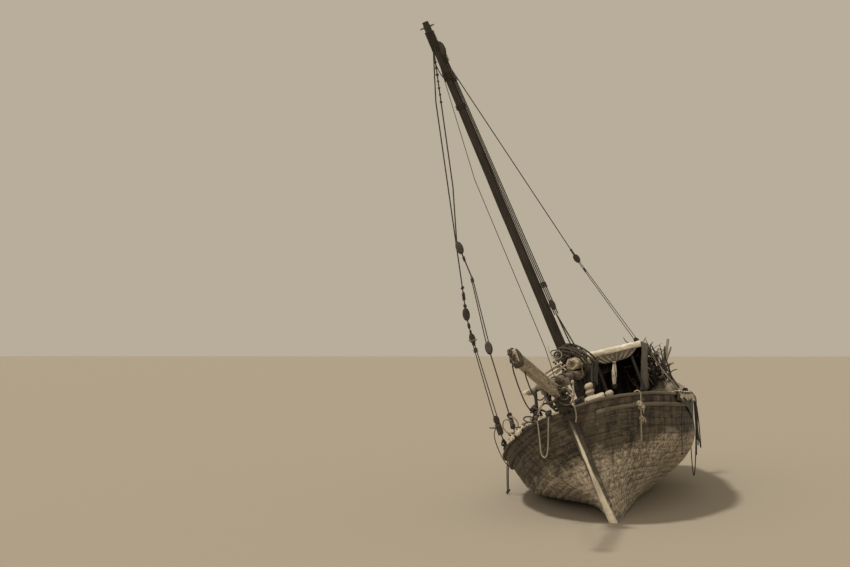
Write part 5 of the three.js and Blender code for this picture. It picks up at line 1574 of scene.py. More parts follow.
def buildRigging():
    shells = []
    for name, entry in rigging.items():
        points = [Vector(p) for p in entry["points"]]
        radius = entry["radius"]
        parts = []
        for i in range(len(points) - 1):
            apart = entry["double"].get(i, 0.0)
            along = (points[i + 1] - points[i]).normalized()
            aside = along.cross(Vector((1.0, 0.2, 0.0))).normalized() * apart
            for side in ((-1, 1) if apart else (0,)):
                start, end = points[i] + aside * side * 0.5, points[i + 1] + aside * side
                strand = evenPath([start, end], ropeShape["step"] * radius * 1.3)
                parts.append(ropeAlong("part", strand, radius * (0.8 if apart else 1.0), "darkRope"))
        for stretch, share, length, half in entry["blocks"]:
            centre, along = alongStretch(points, stretch, share)
            wood, strop = pulleyBlock(centre, along, along.cross(Vector((1, 0, 0))), length, half)
            shells += wood
            parts.append(strop)
        for seed, (stretch, share, length, half) in enumerate(entry["wraps"]):
            centre, along = alongStretch(points, stretch, share)
            wrap = min(0.016, half * 0.4)
            turns = max(3, round(length / (wrap * 2)))
            parts.append(lashing("wrap", centre - along * length / 2, centre + along * length / 2, half - 2 * wrap,
                                 turns, wrap, "brownRope" if half > 0.045 else "darkRope", 0.10, seed))
        for seed, (stretch, share, size) in enumerate(entry["knots"]):
            centre, along = alongStretch(points, stretch, share)
            parts.append(knot("knot", centre, size, min(0.017, size * 0.3), "darkRope", 0.4 + seed * 0.7))
        finishPiece(joinPieces(name, parts), "", [entry["node"]])
    finishPiece(joinPieces("riggingBlocks", shells), "")


buildRigging()

# The halyard: two parts between its upper block and a block over the deck, and two ends made fast.
halyard = {
    "head": (3.205, -0.055, 10.64), "lower": (1.79, 0.092, 4.70), "ends": ((1.60, 0.150, 3.718), (1.50, 0.235, 3.718)),
    "spread": 0.026, "radius": 0.016, "blocks": ((0.975, 0.30, 0.07), (0.035, 0.20, 0.046)),
}


def buildHalyard():
    head, lower = Vector(halyard["head"]), Vector(halyard["lower"])
    radius = halyard["radius"]
    along = (head - lower).normalized()
    aside = along.cross(Vector((1.0, 0.0, 0.0))).normalized()
    parts, shells = [], []
    for side in (-1, 0, 1):
        shift = aside * side * halyard["spread"] * 1.4
        path = evenPath([lower + shift, head + shift * 0.6], ropeShape["step"] * radius * 1.3)
        parts.append(ropeAlong("part", path, radius * 0.8, "darkRope"))
    for end in halyard["ends"]:
        path = evenPath([lower, Vector(end)], ropeShape["step"] * radius)
        parts.append(ropeAlong("part", path, radius, "darkRope"))
    for share, length, half in halyard["blocks"]:
        wood, strop = pulleyBlock(lower.lerp(head, share), along, aside, length, half)
        shells += wood
        parts.append(strop)
    # frapping turns and a fall hitched round the parts
    for share, turns in ((0.10, 5), (0.86, 4), (0.93, 6)):
        a, b = lower.lerp(head, share), lower.lerp(head, share + turns * 0.004)
        parts.append(lashing("wrap", a, b, halyard["spread"] * 1.6, turns, 0.011, "darkRope", 0.1, turns))
    finishPiece(joinPieces("halyardParts", parts), "", ["halyard"])
    finishPiece(joinPieces("halyardBlocks", shells), "")


buildHalyard()
print("rigging made")

# Wooden toggles, sticks and small ends seized into the rigging: start, end, radius.
toggles = {
    "masthead": ((3.29, -0.30, 11.00), (3.29, 0.0, 10.99), 0.022),
    "shroudAftToggle": ((1.30, -2.16, 2.97), (1.30, -1.87, 2.87), 0.024),
    "shroudHook": ((1.83, -1.84, 4.83), (1.83, -1.66, 4.79), 0.020),
}


def buildToggles():
    parts = []
    for seed, (start, end, radius) in enumerate(toggles.values()):
        middle = (Vector(start) + Vector(end)) / 2
        line = ((*start, radius * 0.75), (*middle, radius), (*end, radius * 0.7))
        stick = sparPiece("toggle", line, 14, 0.04, 0.003, seed=seed)
        stick.data.materials.append(materials["stickTimber"])
        parts.append(stick)
    finishPiece(joinPieces("riggingToggles", parts), "")
    # loose ends and small loops that hang from the rigging
    loose = (
        ((1.34, -1.97, 2.98), (1.36, -2.10, 2.80), (1.34, -2.13, 2.45), (1.24, -2.09, 2.12), (1.10, -2.03, 2.00),
         (1.02, -2.0, 2.18)),
        ((4.40, -1.17, 2.93), (4.44, -1.28, 3.02), (4.44, -1.36, 2.90), (4.43, -1.30, 2.76), (4.42, -1.18, 2.74),
         (4.42, -1.08, 2.84), (4.42, -1.10, 2.98), (4.41, -1.18, 3.04)),
        ((4.43, -1.18, 2.86), (4.40, -1.02, 2.70), (4.36, -0.98, 2.56), (4.34, -1.02, 2.40)),
        ((3.22, -0.20, 10.55), (3.20, -0.26, 10.3), (3.23, -0.24, 10.0), (3.25, -0.20, 9.86)),
    )
    parts = []
    for i, points in enumerate(loose):
        parts.append(ropeThrough("loose", points, 0.011 if i != 1 else 0.016, "darkRope" if i != 1 else "paleRope"))
    parts.append(knot("knot", (4.34, -1.02, 2.39), 0.035, 0.011, "darkRope"))
    finishPiece(joinPieces("riggingEnds", parts), "")


buildToggles()


def plumb(point, length):
    # Straight down from a point of the heeled boat.
    return Vector((point[0], point[1] - length * math.sin(heelAngle), point[2] - length * math.cos(heelAngle)))


def clothPiece(name, columns, rows, place, material, replaced=(), thickness=0.006, uvScale=1.0):
    piece = formGrid(name, columns, rows, lambda u, v: toRow @ Vector(place(u, v)))
    area = sum(face.area for face in piece.data.polygons)
    acrossLength = pathLength([Vector(place(i / 20, 0.5)) for i in range(21)])
    for corner in piece.data.uv_layers.active.data:
        corner.uv = (corner.uv[0] * acrossLength * uvScale, corner.uv[1] * area / acrossLength * uvScale)
    smooth(piece, 75)
    applyModifier(piece, "SOLIDIFY", thickness=thickness, offset=0.0)
    finishPiece(piece, material, replaced)
    return piece


# Bow timbers, sticks and lashings: start, end, radius, roughness.
bowSticks = {
    "barHigh": ((3.55, -0.36, 3.585), (3.60, 0.02, 3.66), 0.028, 0.012),
    "barLow": ((3.75, -0.40, 3.49), (3.72, -0.06, 3.575), 0.026, 0.012),
    "barEnd": ((3.30, -0.20, 3.52), (3.34, 0.04, 3.60), 0.024, 0.010),
    "oblique": ((5.02, -0.20, 3.30), (5.04, -0.60, 2.88), 0.022, 0.008),
    "darkPost": ((4.40, -0.555, 3.34), (4.40, -0.74, 2.66), 0.030, 0.008),
    "darkBlock": ((4.42, -0.76, 2.98), (4.42, -0.62, 3.06), 0.055, 0.016),
    "whitePost": ((5.30, 0.175, 2.98), (5.30, 0.240, 3.22), 0.018, 0.003),
    "whiteKnob": ((5.30, 0.233, 3.205), (5.30, 0.250, 3.255), 0.030, 0.003),
    "stub": ((5.28, -0.64, 3.335), (4.90, -0.56, 3.34), 0.040, 0.010),
}
crossbeam = {"start": (5.19, -0.585, 2.790), "end": (5.19, 0.675, 2.830), "radius": 0.047, "hole": 0.017,
             "holes": (-0.45, 0.35), "rough": 0.024}


def buildBow():
    paleOnes, darkOnes = [], []
    for seed, (name, (start, end, radius, rough)) in enumerate(bowSticks.items()):
        middle = (Vector(start) + Vector(end)) / 2 + Vector((0.01, 0.0, 0.004))
        stick = sparPiece("stick", ((*start, radius), (*middle, radius * 0.95), (*end, radius * 0.85)), 16, 0.03,
                          rough, seed=seed * 3)
        dark = name.startswith("dark")
        stick.data.materials.append(materials["sparTimber" if dark else "paleStick"])
        (darkOnes if dark else paleOnes).append(stick)
    # a thin bent rod that stands over the yard
    rod = smoothPath(((3.0, -0.185, 4.10), (3.0, -0.20, 3.95), (3.0, -0.16, 3.76), (3.02, -0.08, 3.62), (3.05, 0.0, 3.50)),
                     0.02)
    line = [(*p, 0.011 - 0.003 * i / len(rod)) for i, p in enumerate(rod)]
    rodPiece = sparPiece("rod", line, 10, 0.03, 0.002)
    rodPiece.data.materials.append(materials["paleStick"])
    paleOnes.append(rodPiece)
    finishPiece(joinPieces("bowSticks", paleOnes), "")
    finishPiece(joinPieces("bowDarkPost", darkOnes), "")

    start, end = Vector(crossbeam["start"]), Vector(crossbeam["end"])
    line = []
    for i in range(9):
        point = start.lerp(end, i / 8)
        line.append((point.x + 0.01 * math.sin(i * 2.1), point.y, point.z + 0.008 * math.sin(i * 1.3),
                     crossbeam["radius"] * (0.86 + 0.16 * math.sin(i * 1.7 + 1) ** 2)))
    beam = sparPiece("bowCrossbeam", line, 26, 0.03, crossbeam["rough"], seed=5)
    for y in crossbeam["holes"]:
        share = (y - start.y) / (end.y - start.y)
        place = start.lerp(end, share)
        deselectAll()
        bpy.ops.mesh.primitive_cylinder_add(vertices=20, radius=crossbeam["hole"], depth=0.4)
        drill = bpy.context.object
        turned = Matrix.Rotation(math.radians(90), 3, "Y")
        for point in drill.data.vertices:
            point.co = toRow @ (place + turned @ point.co)
        applyModifier(beam, "BOOLEAN", object=drill, operation="DIFFERENCE", solver="EXACT")
        bpy.data.objects.remove(drill)
    finishPiece(beam, "paleStick", ["bow_crossbeam"])


buildBow()

# Rope round the bow timbers.
bowRopes = {
    "boardSlope": 0.2781, "bandAt": (8.40, 8.56), "band": (0.062, 0.128),
}


def squareTurns(start, end, half, tall, turns, wobble, seed):
    # Turns round a squared timber: half its breadth across, tall its depth.
    ahead = (end - start).normalized()
    side = Vector((0, 1, 0))
    up = ahead.cross(side).normalized()
    path = []
    for i in range(turns * 20 + 1):
        t = i / (turns * 20)
        angle = 2 * math.pi * turns * t
        c, s = math.cos(angle), math.sin(angle)
        blunt = 1 / max(abs(c), abs(s), 0.78)
        slack = 1 + wobble * (0.5 + 0.5 * noise.noise((t * turns, seed, 0)))
        path.append(start.lerp(end, t) + side * (half * c * blunt * slack) + up * (tall * s * blunt * slack))
    return smoothPath(path, 0.012)


def boardPoint(x):
    # Middle of the bowsprit board at a station.
    return Vector((x, -0.135, 3.003 + (x - 5.5) * bowRopes["boardSlope"]))


def buildBowRopes():
    parts = []
    # the tip: rope turns and a hook in place of an iron band
    for i, (a, b, turns, r) in enumerate(((8.36, 8.47, 5, 0.013), (8.47, 8.545, 4, 0.012))):
        path = squareTurns(boardPoint(a), boardPoint(b), bowRopes["band"][0] + 0.006, bowRopes["band"][1] * 0.86, turns,
                           0.12, i)
        parts.append(ropeAlong("turns", path, r, "brownRope"))
    parts.append(knot("knot", boardPoint(8.46) + Vector((0, -0.02, 0.145)), 0.05, 0.014, "darkRope", 0.2))
    parts.append(knot("knot", boardPoint(8.42) + Vector((0, -0.085, 0.0)), 0.05, 0.013, "darkRope", 1.2))
    for i, (y, z, size) in enumerate(((-0.04, 0.07, 0.07), (-0.02, -0.02, 0.075), (0.0, -0.10, 0.06))):
        parts.append(knot("knot", boardPoint(8.60) + Vector((0.0, y, z)), size, 0.018, "brownRope", 0.7 + i))
    finishPiece(joinPieces("bowspritTurns", parts), "", ["bowsprit_band"])
    # the root: board, crossbeam and stem head seized together
    parts = []
    for i, (x, turns, r) in enumerate(((5.66, 6, 0.016), (5.42, 5, 0.015), (6.05, 3, 0.012))):
        path = squareTurns(boardPoint(x), boardPoint(x + turns * 0.028), 0.075, 0.135, turns, 0.25, i + 9)
        parts.append(ropeAlong("turns", path, r, "darkRope" if i != 2 else "brownRope"))
    stemTop = Vector((5.78, 0.0, 3.06))
    for i, (drop, turns, reach) in enumerate(((0.0, 5, 0.125), (0.16, 4, 0.118), (0.34, 3, 0.12))):
        a = stemTop + Vector((-0.3 * drop, 0, -drop))
        path = turnsPath(a, a + Vector((0.01, 0, -turns * 0.031)), reach, turns, 18, 0.16, i + 3)
        parts.append(ropeAlong("turns", path, 0.018, "darkRope"))
    for i, (y, z, size) in enumerate(((0.10, 3.12, 0.09), (0.02, 2.92, 0.08), (0.11, 2.80, 0.085), (-0.06, 3.06, 0.08),
                                      (0.12, 2.98, 0.07), (0.05, 2.68, 0.06))):
        parts.append(knot("knot", (5.90 - 0.04 * i, y, z), size, 0.018, "darkRope", 0.5 + i))
    for y, at in ((-0.42, 0.022), (0.12, 0.018), (0.22, 0.02)):
        a, b = Vector((5.19, y, 2.84 + 0.03 * y)), Vector((5.19, y + 0.10, 2.843 + 0.03 * y))
        parts.append(lashing("wrap", a, b, 0.060, 5, 0.012, "darkRope", 0.15, y))
    loops = (
        ((5.93, 0.05, 3.14), (5.95, 0.13, 3.18), (5.95, 0.19, 3.10), (5.95, 0.20, 2.95), (5.93, 0.18, 2.80),
         (5.90, 0.15, 2.66), (5.86, 0.10, 2.56)),
        ((5.94, -0.02, 3.10), (5.97, 0.02, 3.02), (5.97, 0.10, 2.98), (5.96, 0.16, 3.03), (5.95, 0.15, 3.12),
         (5.95, 0.08, 3.15), (5.94, 0.0, 3.12)),
        ((5.95, -0.04, 2.98), (5.97, 0.04, 2.90), (5.96, 0.12, 2.88), (5.94, 0.19, 2.92), (5.92, 0.22, 3.0)),
    )
    for points in loops[1:]:
        parts.append(ropeThrough("loop", points, 0.014, "brownRope"))
    for i, (y, z, size) in enumerate(((0.06, 3.19, 0.075), (0.14, 3.15, 0.08), (0.19, 3.08, 0.06))):
        parts.append(knot("knot", (5.90, y, z), size, 0.017, "brownRope", 2.5 + i))
    finishPiece(joinPieces("stemHeadRopes", parts), "")
    finishPiece(ropeThrough("stemHeadPaleRopes", loops[0], 0.013, "paleRope"), "")
    # a thin pale spar along the board's upper edge: a painted highlight where the sun falls on that edge
    edge = []
    for i in range(15):
        x = 8.34 - 2.9 * i / 14
        top = boardPoint(x) + Vector((0, 0.052, 0.120 - 0.006 * (x - 5.5))) + boardShift(x)
        edge.append((*top, 0.013))
    finishPiece(sparPiece("bowspritHighlightStrip", edge, 12, 0.06, 0.004), "paleStick")


buildBowRopes()

# Mast foot: turns and loose loops of rope heaped round the mast over the end of the furled sail.
heap = {"loops": 24, "low": 3.52, "high": 3.93, "reach": (0.14, 0.29), "rope": (0.012, 0.021)}
mastCoil = {
    "centre": (2.42, -0.12, 3.86), "ahead": (1.0, -0.1, 0.25), "reach": 0.095, "turns": 6, "rope": 0.013,
    "lead": ((1.60, -0.13, 3.99), (1.78, -0.24, 4.02), (2.05, -0.28, 3.98), (2.27, -0.25, 3.90)),
    "tail": ((2.50, -0.02, 3.84), (2.46, 0.06, 3.79), (2.40, 0.09, 3.735)),
}


def buildHeap():
    chance = random.Random(11)
    parts = []
    for i in range(heap["loops"]):
        z = chance.uniform(heap["low"], heap["high"])
        centre = mastPoint(z) + Vector((chance.uniform(0.0, 0.16), chance.uniform(-0.02, 0.16), 0))
        lean = Vector((chance.uniform(-0.5, 0.5), chance.uniform(-0.6, 0.5), 1.0)).normalized()
        reach = chance.uniform(*heap["reach"])
        rope = chance.uniform(*heap["rope"])
        turns = chance.choice((1, 1, 2))
        path = turnsPath(centre - lean * rope * turns, centre + lean * rope * turns, reach, turns, 26, 0.35, i)
        parts.append(ropeAlong("loop", smoothPath(path[::2], rope), rope, "darkRope" if i % 4 else "brownRope"))
    thick = (
        ((1.62, -0.12, 4.02), (1.78, 0.10, 3.96), (1.90, 0.28, 3.82), (1.95, 0.42, 3.64), (1.92, 0.50, 3.48)),
        ((1.60, 0.02, 4.06), (1.74, 0.20, 3.98), (1.84, 0.38, 3.80), (1.84, 0.50, 3.60), (1.80, 0.54, 3.44)),
        ((1.95, -0.10, 4.02), (2.05, 0.06, 3.95), (2.10, 0.22, 3.82), (2.10, 0.33, 3.66), (2.06, 0.36, 3.50)),
        ((2.20, -0.05, 3.92), (2.24, 0.10, 3.84), (2.24, 0.24, 3.70), (2.20, 0.30, 3.52), (2.16, 0.28, 3.38)),
        ((1.72, 0.10, 4.00), (1.82, 0.02, 4.03), (1.96, -0.10, 3.98), (2.10, -0.20, 3.84), (2.18, -0.24, 3.70)),
    )
    for i, points in enumerate(thick):
        parts.append(ropeThrough("thick", points, 0.024 - 0.002 * (i % 3), "darkRope" if i % 2 else "brownRope"))
    finishPiece(joinPieces("mastFootRopes", parts), "")

    centre, ahead = Vector(mastCoil["centre"]), Vector(mastCoil["ahead"]).normalized()
    rope = mastCoil["rope"]
    wound = turnsPath(centre - ahead * rope * 2.4, centre + ahead * rope * 2.4, mastCoil["reach"], mastCoil["turns"], 24,
                      0.10, 2)
    lead = [Vector(p) for p in mastCoil["lead"]]
    tail = [Vector(p) for p in mastCoil["tail"]]
    path = easedPath(smoothPath([toRow @ p for p in lead + wound[6:-6] + tail], rope * ropeShape["step"]), 36)
    coil = ropeAlong("mastFootCoil", path, rope, "brownRope", level)
    finishPiece(coil, "")
    tuple(path[0])
    round(pathLength(path), 2)
    pale = turnsPath(centre + ahead * 0.045, centre + ahead * 0.06, 0.088, 1, 30, 0.08, 4)
    finishPiece(ropeThrough("mastFootPaleTurn", pale[::3], 0.011, "paleRope"), "")


def buildHangingFolds():
    # Dark cloth bunched under the yard beside the mast.
    def place(u, v):
        top = Vector((1.78 + 0.10 * math.sin(u * 9), -0.12 + 0.70 * u, 3.50 + 0.04 * math.sin(u * 7)))
        drop = (0.50 + 0.22 * noise.noise((u * 3.5, 0, 7)) + 0.06 * math.sin(u * 40)) * v
        fold = 0.050 * math.sin(u * 42 + 1.5 * noise.noise((u * 5, v * 2, 0))) * (0.4 + v * 0.6)
        gather = 1 - 0.25 * v
        point = plumb(top, drop)
        point.x += 0.06 + fold
        point.y = 0.30 + (point.y - 0.30) * gather + 0.02 * noise.noise((u * 12, v * 6, 3))
        return point

    clothPiece("yardHangingCloth", 96, 18, place, "darkCloth", thickness=0.008)


def buildValanceTail():
    # The valance's drawn-up corner hangs in a twisted tail below its knot.
    def place(u, v):
        centre = plumb((1.12, 0.80, 3.33), 0.46 * v)
        angle = 2 * math.pi * u * 0.93 + 2.2 * v
        reach = 0.034 * (0.75 + 0.5 * math.sin(math.pi * min(v * 1.1, 1))) * (1 + 0.3 * math.cos(5 * angle))
        return Vector((centre.x + reach * math.cos(angle), centre.y + reach * math.sin(angle), centre.z))

    clothPiece("valanceTail", 30, 20, place, "ragCloth")
    parts = [knot("knot", (1.13, 0.81, 3.35), 0.048, 0.014, "paleRope", 0.5),
             lashing("turns", (1.12, 0.655, 2.93), (1.12, 0.64, 2.89), 0.030, 3, 0.012, "darkRope", 0.2, 3),
             knot("knot", (1.12, 0.635, 2.87), 0.055, 0.018, "darkRope", 0.9)]
    finishPiece(joinPieces("valanceKnots", parts), "")


buildHeap()
buildHangingFolds()
buildValanceTail()
print("bow and mast foot made")

# Turned bitts on the foredeck: x, y, top z, radius, and a profile of share of radius over height below the top.
bitts = {
    "bollardFore": ("bollard_fore", 4.88, 0.43, 3.12, 0.085),
    "bollardPort": ("bollard_port", 4.68, 0.73, 2.87, 0.080),
    "bollardStarboard": ("bollard_starboard", 4.68, -0.73, 2.93, 0.080),
}
bittProfile = ((0.30, 0.0), (0.62, -0.008), (0.86, -0.028), (0.95, -0.055), (0.90, -0.085), (0.74, -0.102), (0.73, -0.118),
               (0.90, -0.132), (1.0, -0.158), (0.94, -0.182), (0.76, -0.198), (0.75, -0.214), (0.92, -0.228),
               (1.0, -0.252), (0.95, -0.275), (0.86, -0.30))


def buildBitts():
    for name, (node, x, y, top, radius) in bitts.items():
        foot = railZ(x) - hull["raisedDrop"] - 0.01
        profile = [(share, top + z) for share, z in bittProfile] + [(0.86, foot + 0.1), (0.9, foot)]
        rings = []
        for share, z in profile:
            ring = []
            for k in range(28):
                angle = 2 * math.pi * k / 28
                reach = radius * share * (1 + 0.03 * noise.noise((math.cos(angle) * 2, math.sin(angle) * 2, z * 8)))
                lean = (z - top + 0.15) * (0.16 if name == "bollardFore" else 0.0)
                ring.append((x + reach * math.cos(angle), y + lean + reach * math.sin(angle), z))
            rings.append(ring)
        piece = skinRings(name, rings, lambda u, v: (u * 0.5, v * 0.5))
        finishPiece(piece, "bleachedTimber", [node])


buildBitts()


# Port quarter: poles lashed to the rail, with a heap of brushwood behind them.
poles = {
    "lashedAt": (-4.05, 1.62, 2.88),
    "poles": (((-3.30, 1.15, 2.04), 0.75, 0.042), ((-4.45, 1.25, 2.10), 0.62, 0.034), ((-3.70, 0.90, 2.04), 0.50, 0.030),
              ((-3.15, 1.43, 2.86), 1.30, 0.028)),
    "brush": 290, "brushFrom": (-3.9, -2.45), "brushSeed": 23, "leaning": 9,
}


def buildPoles():
    lashed = Vector(poles["lashedAt"])
    made = []
    for i, (foot, share, radius) in enumerate(poles["poles"]):
        foot = Vector(foot)
        tip = lashed + (lashed - foot) * share
        middle = (foot + tip) / 2 + Vector((0.02, 0.02, 0.01))
        piece = sparPiece("pole", ((*foot, radius), (*middle, radius * 0.95), (*tip, radius * 0.8)), 16, 0.06, 0.008,
                          seed=i * 5)
        made.append(piece)
    poleSet = joinPieces("sparePoleSet", made)
    finishPiece(poleSet, "stickTimber", ["spare_poles"])
    turns = [lashing("turns", lashed - Vector((0, 0.02, 0.09)), lashed + Vector((0, 0.02, 0.06)), 0.075, 6, 0.013,
                     "brownRope", 0.25, 3)]
    finishPiece(joinPieces("poleLashing", turns), "")


def branch(foot, lean, length, radius, crook, seed):
    side = lean.orthogonal().normalized()
    up = lean.cross(side)
    points = []
    for k in range(6):
        t = k / 5
        sway = noise.noise_vector((t * 2.2, seed * 1.7, 0.4)) * crook
        points.append(foot + lean * (length * t) + (side * sway.x + up * sway.y) * t)
    line = [(*p, radius * (1 - 0.55 * k / 11)) for k, p in enumerate(smoothPath(points, length / 10))]
    return sparPiece("branch", line, 7, 0.3, 0.003, seed=seed)


def buildBrush():
    # Crooked thin branches heaped on the quarter, and some leaning on the awning's side.
    chance = random.Random(poles["brushSeed"])
    dark, pale = [], []
    for i in range(poles["brush"]):
        x = chance.uniform(*poles["brushFrom"])
        high = railZ(x)
        inside = topsideY(x, high) - 0.16
        foot = Vector((x, inside - chance.uniform(0.0, 0.70), high - chance.uniform(0.0, 0.30)))
        lean = Vector((chance.uniform(-0.4, 0.4), chance.uniform(-0.40, 0.25), 1.0)).normalized()
        length = chance.uniform(0.70, 1.30)
        if i % 2 == 0:
            foot.z = high + chance.uniform(0.15, 1.10)
            foot.y = inside - chance.uniform(0.20, 0.50)
            lean = Vector((chance.uniform(-0.7, 0.7), chance.uniform(0.3, 1.0) * chance.choice((-1, 1)),
                           chance.uniform(0.05, 0.7))).normalized()
            length = chance.uniform(0.30, 0.62)
        made = branch(foot, lean, length, chance.uniform(0.012, 0.028), 0.18, i)
        (pale if i % 5 == 0 else dark).append(made)
    for i in range(poles["leaning"]):
        x = chance.uniform(-2.9, -0.7)
        high = railZ(x)
        foot = Vector((x, topsideY(x, high) - 0.05 - chance.uniform(0.0, 0.05), high + 0.012))
        top = Vector((x - chance.uniform(-0.3, 0.5), chance.uniform(1.44, 1.54), chance.uniform(3.25, 3.68)))
        lean = top - foot
        made = branch(foot, lean.normalized(), lean.length, chance.uniform(0.012, 0.024), 0.12, 200 + i)
        (pale if i % 4 == 0 else dark).append(made)
    finishPiece(joinPieces("brushwoodDark", dark), "sparTimber")
    finishPiece(joinPieces("brushwoodPale", pale), "paleStick")


def buildQuarterCloth():
    # Old canvas thrown over the brushwood and the rail.
    def place(u, v):
        x = -3.6 + 1.9 * u
        high = railZ(x)
        outer = topsideY(x, high)
        across = Vector((outer - 0.75 + 0.95 * v, 0))
        swell = 0.24 * math.sin(math.pi * min(v * 1.15, 1)) * math.sin(math.pi * min(max(u * 1.1, 0.05), 1)) ** 0.5
        ridge = 1 - abs(noise.noise((u * 9 + v * 3, v * 5 - u * 2, 6))) * 2.6
        lump = 0.20 * noise.noise((u * 5, v * 4, 2)) + 0.07 * max(ridge, 0) + 0.05 * abs(noise.noise((u * 17, v * 13, 5)))
        y = across.x
        z = high + 0.05 + swell + lump * (1 - v * 0.6)
        if v > 0.8:
            drop = (v - 0.8) / 0.2
            y = outer + 0.05 + 0.03 * math.sin(u * 20)
            z = high + 0.06 - drop * (0.16 + 0.10 * noise.noise((u * 7, 0, 1)))
        return Vector((x, y, z))

    clothPiece("quarterCanvas", 84, 52, place, "darkCanvas",
               thickness=0.008)


buildPoles()
buildBrush()
buildQuarterCloth()

# Pale cloth over the port rail, with torn strips.
railRag = {"from": 1.0, "to": 2.8, "inside": 0.10, "outside": 0.11, "torn": 0.22}


def buildRailRag():
    def place(u, v):
        x = railRag["from"] + (railRag["to"] - railRag["from"]) * u
        high = railZ(x)
        outer = topsideY(x, high) + hull["railOverhang"] + 0.010
        inner = outer - hull["railWidth"] - 0.022
        torn = railRag["torn"] * max(0, noise.noise((u * 17, 0, 3))) + 0.09 * abs(noise.noise((u * 43, 0, 8)))
        inside, over, outside = railRag["inside"], outer - inner, railRag["outside"] + torn
        walk = v * (inside + over + outside)
        rumple = 0.030 * abs(noise.noise((u * 21, v * 8, 0))) + 0.022 * abs(noise.noise((u * 38 + v * 5, v * 3, 4)))
        if walk < inside:
            return Vector((x, inner - rumple, high + 0.008 - (inside - walk)))
        if walk < inside + over:
            return Vector((x, inner + walk - inside, high + 0.012 + rumple * 1.3))
        down = walk - inside - over
        return Vector((x, outer + rumple * (1 + 4 * down), high + 0.008 - down))

    clothPiece("railRag", 80, 26, place, "ragCloth", ["rail_cloth"], 0.005)


# Dark ropes hung over the rail in bights, from a dark net drawn together.
bundle = {"count": 8, "from": -0.30, "to": 0.55, "rope": (0.013, 0.016), "depth": (0.45, 0.95),
          "bend": 4.4, "proud": 0.026, "aside": 0.032}


def overRail(x, rope, out, high):
    # A rope's way from inside the bulwark over the rail to its outer side.
    outer = topsideY(x, high) + hull["railOverhang"]
    inner = outer - hull["railWidth"]
    bend = bundle["bend"] * rope
    level, shift = high + rope + bundle["proud"] - bend, bend - bundle["aside"]
    way = [(inner - bundle["aside"], level - 0.06)]
    for degrees in (180, 150, 120, 90):
        angle = math.radians(degrees)
        way.append((inner + shift + bend * math.cos(angle), level + bend * math.sin(angle)))
    for degrees in (90, 60, 30, 0):
        angle = math.radians(degrees)
        way.append((outer - shift + bend * math.cos(angle), level + bend * math.sin(angle)))
    way.append((outer + out, level - 0.09))
    return [toRow @ Vector((x, y, z)) for y, z in way]


def buildBundle():
    chance = random.Random(5)
    for i in range(bundle["count"]):
        x = bundle["from"] + (bundle["to"] - bundle["from"]) * i / bundle["count"] + chance.uniform(-0.02, 0.02)
        high = railZ(x)
        rope = chance.uniform(*bundle["rope"])
        depth = chance.uniform(*bundle["depth"])
        gap = bundle["bend"] * rope * chance.uniform(1.0, 1.1)
        out = 0.036 + 0.012 * (i % 3)
        down = overRail(x, rope, out, high)
        back = overRail(x + 2 * gap, rope, out, high)
        low = (down[-1] + back[-1]) / 2 + Vector((0, 0.05, -depth))
        turn = []
        for k in range(5):
            angle = math.pi * k / 4
            turn.append(low + Vector((-gap * math.cos(angle), 0, -gap * math.sin(angle))))
        legDown = [down[-1].lerp(turn[0], s) for s in (0.3, 0.6, 0.85)]
        legBack = [back[-1].lerp(turn[-1], s) for s in (0.85, 0.6, 0.3)]
        points = down + legDown + turn + legBack + back[::-1]
        path = easedPath(smoothPath(points, rope * ropeShape["step"]), 5)
        piece = ropeAlong("railBundle%d" % (i + 1), path, rope, "darkRope", level)
        finishPiece(piece, "")
        tuple(path[0])
        round(pathLength(path), 2)

    def place(u, v):
        x = -0.42 + 3.35 * u
        high = railZ(x)
        outer = topsideY(x, high) + hull["railOverhang"]
        drop = 0.17 + 0.92 * (1 - u) ** 1.4 + 0.07 * noise.noise((u * 12, 0, 8)) * (1 - u)
        over = 0.12
        walk = v * (over + drop)
        fold = 0.022 * math.sin(u * 60 + 4 * noise.noise((u * 6, v * 2, 2)))
        if walk < over:
            return Vector((x, outer - over + walk, high + 0.006 + 0.004 * math.sin(u * 60)))
        down = walk - over
        point = plumb((x, outer + 0.014, high + 0.004), down)
        point.x += (0.25 - u) * down * 0.28
        point.y += abs(fold) + 0.012
        return point

    clothPiece("railNet", 110, 26, place, "darkCloth", thickness=0.006)


buildRailRag()
buildBundle()

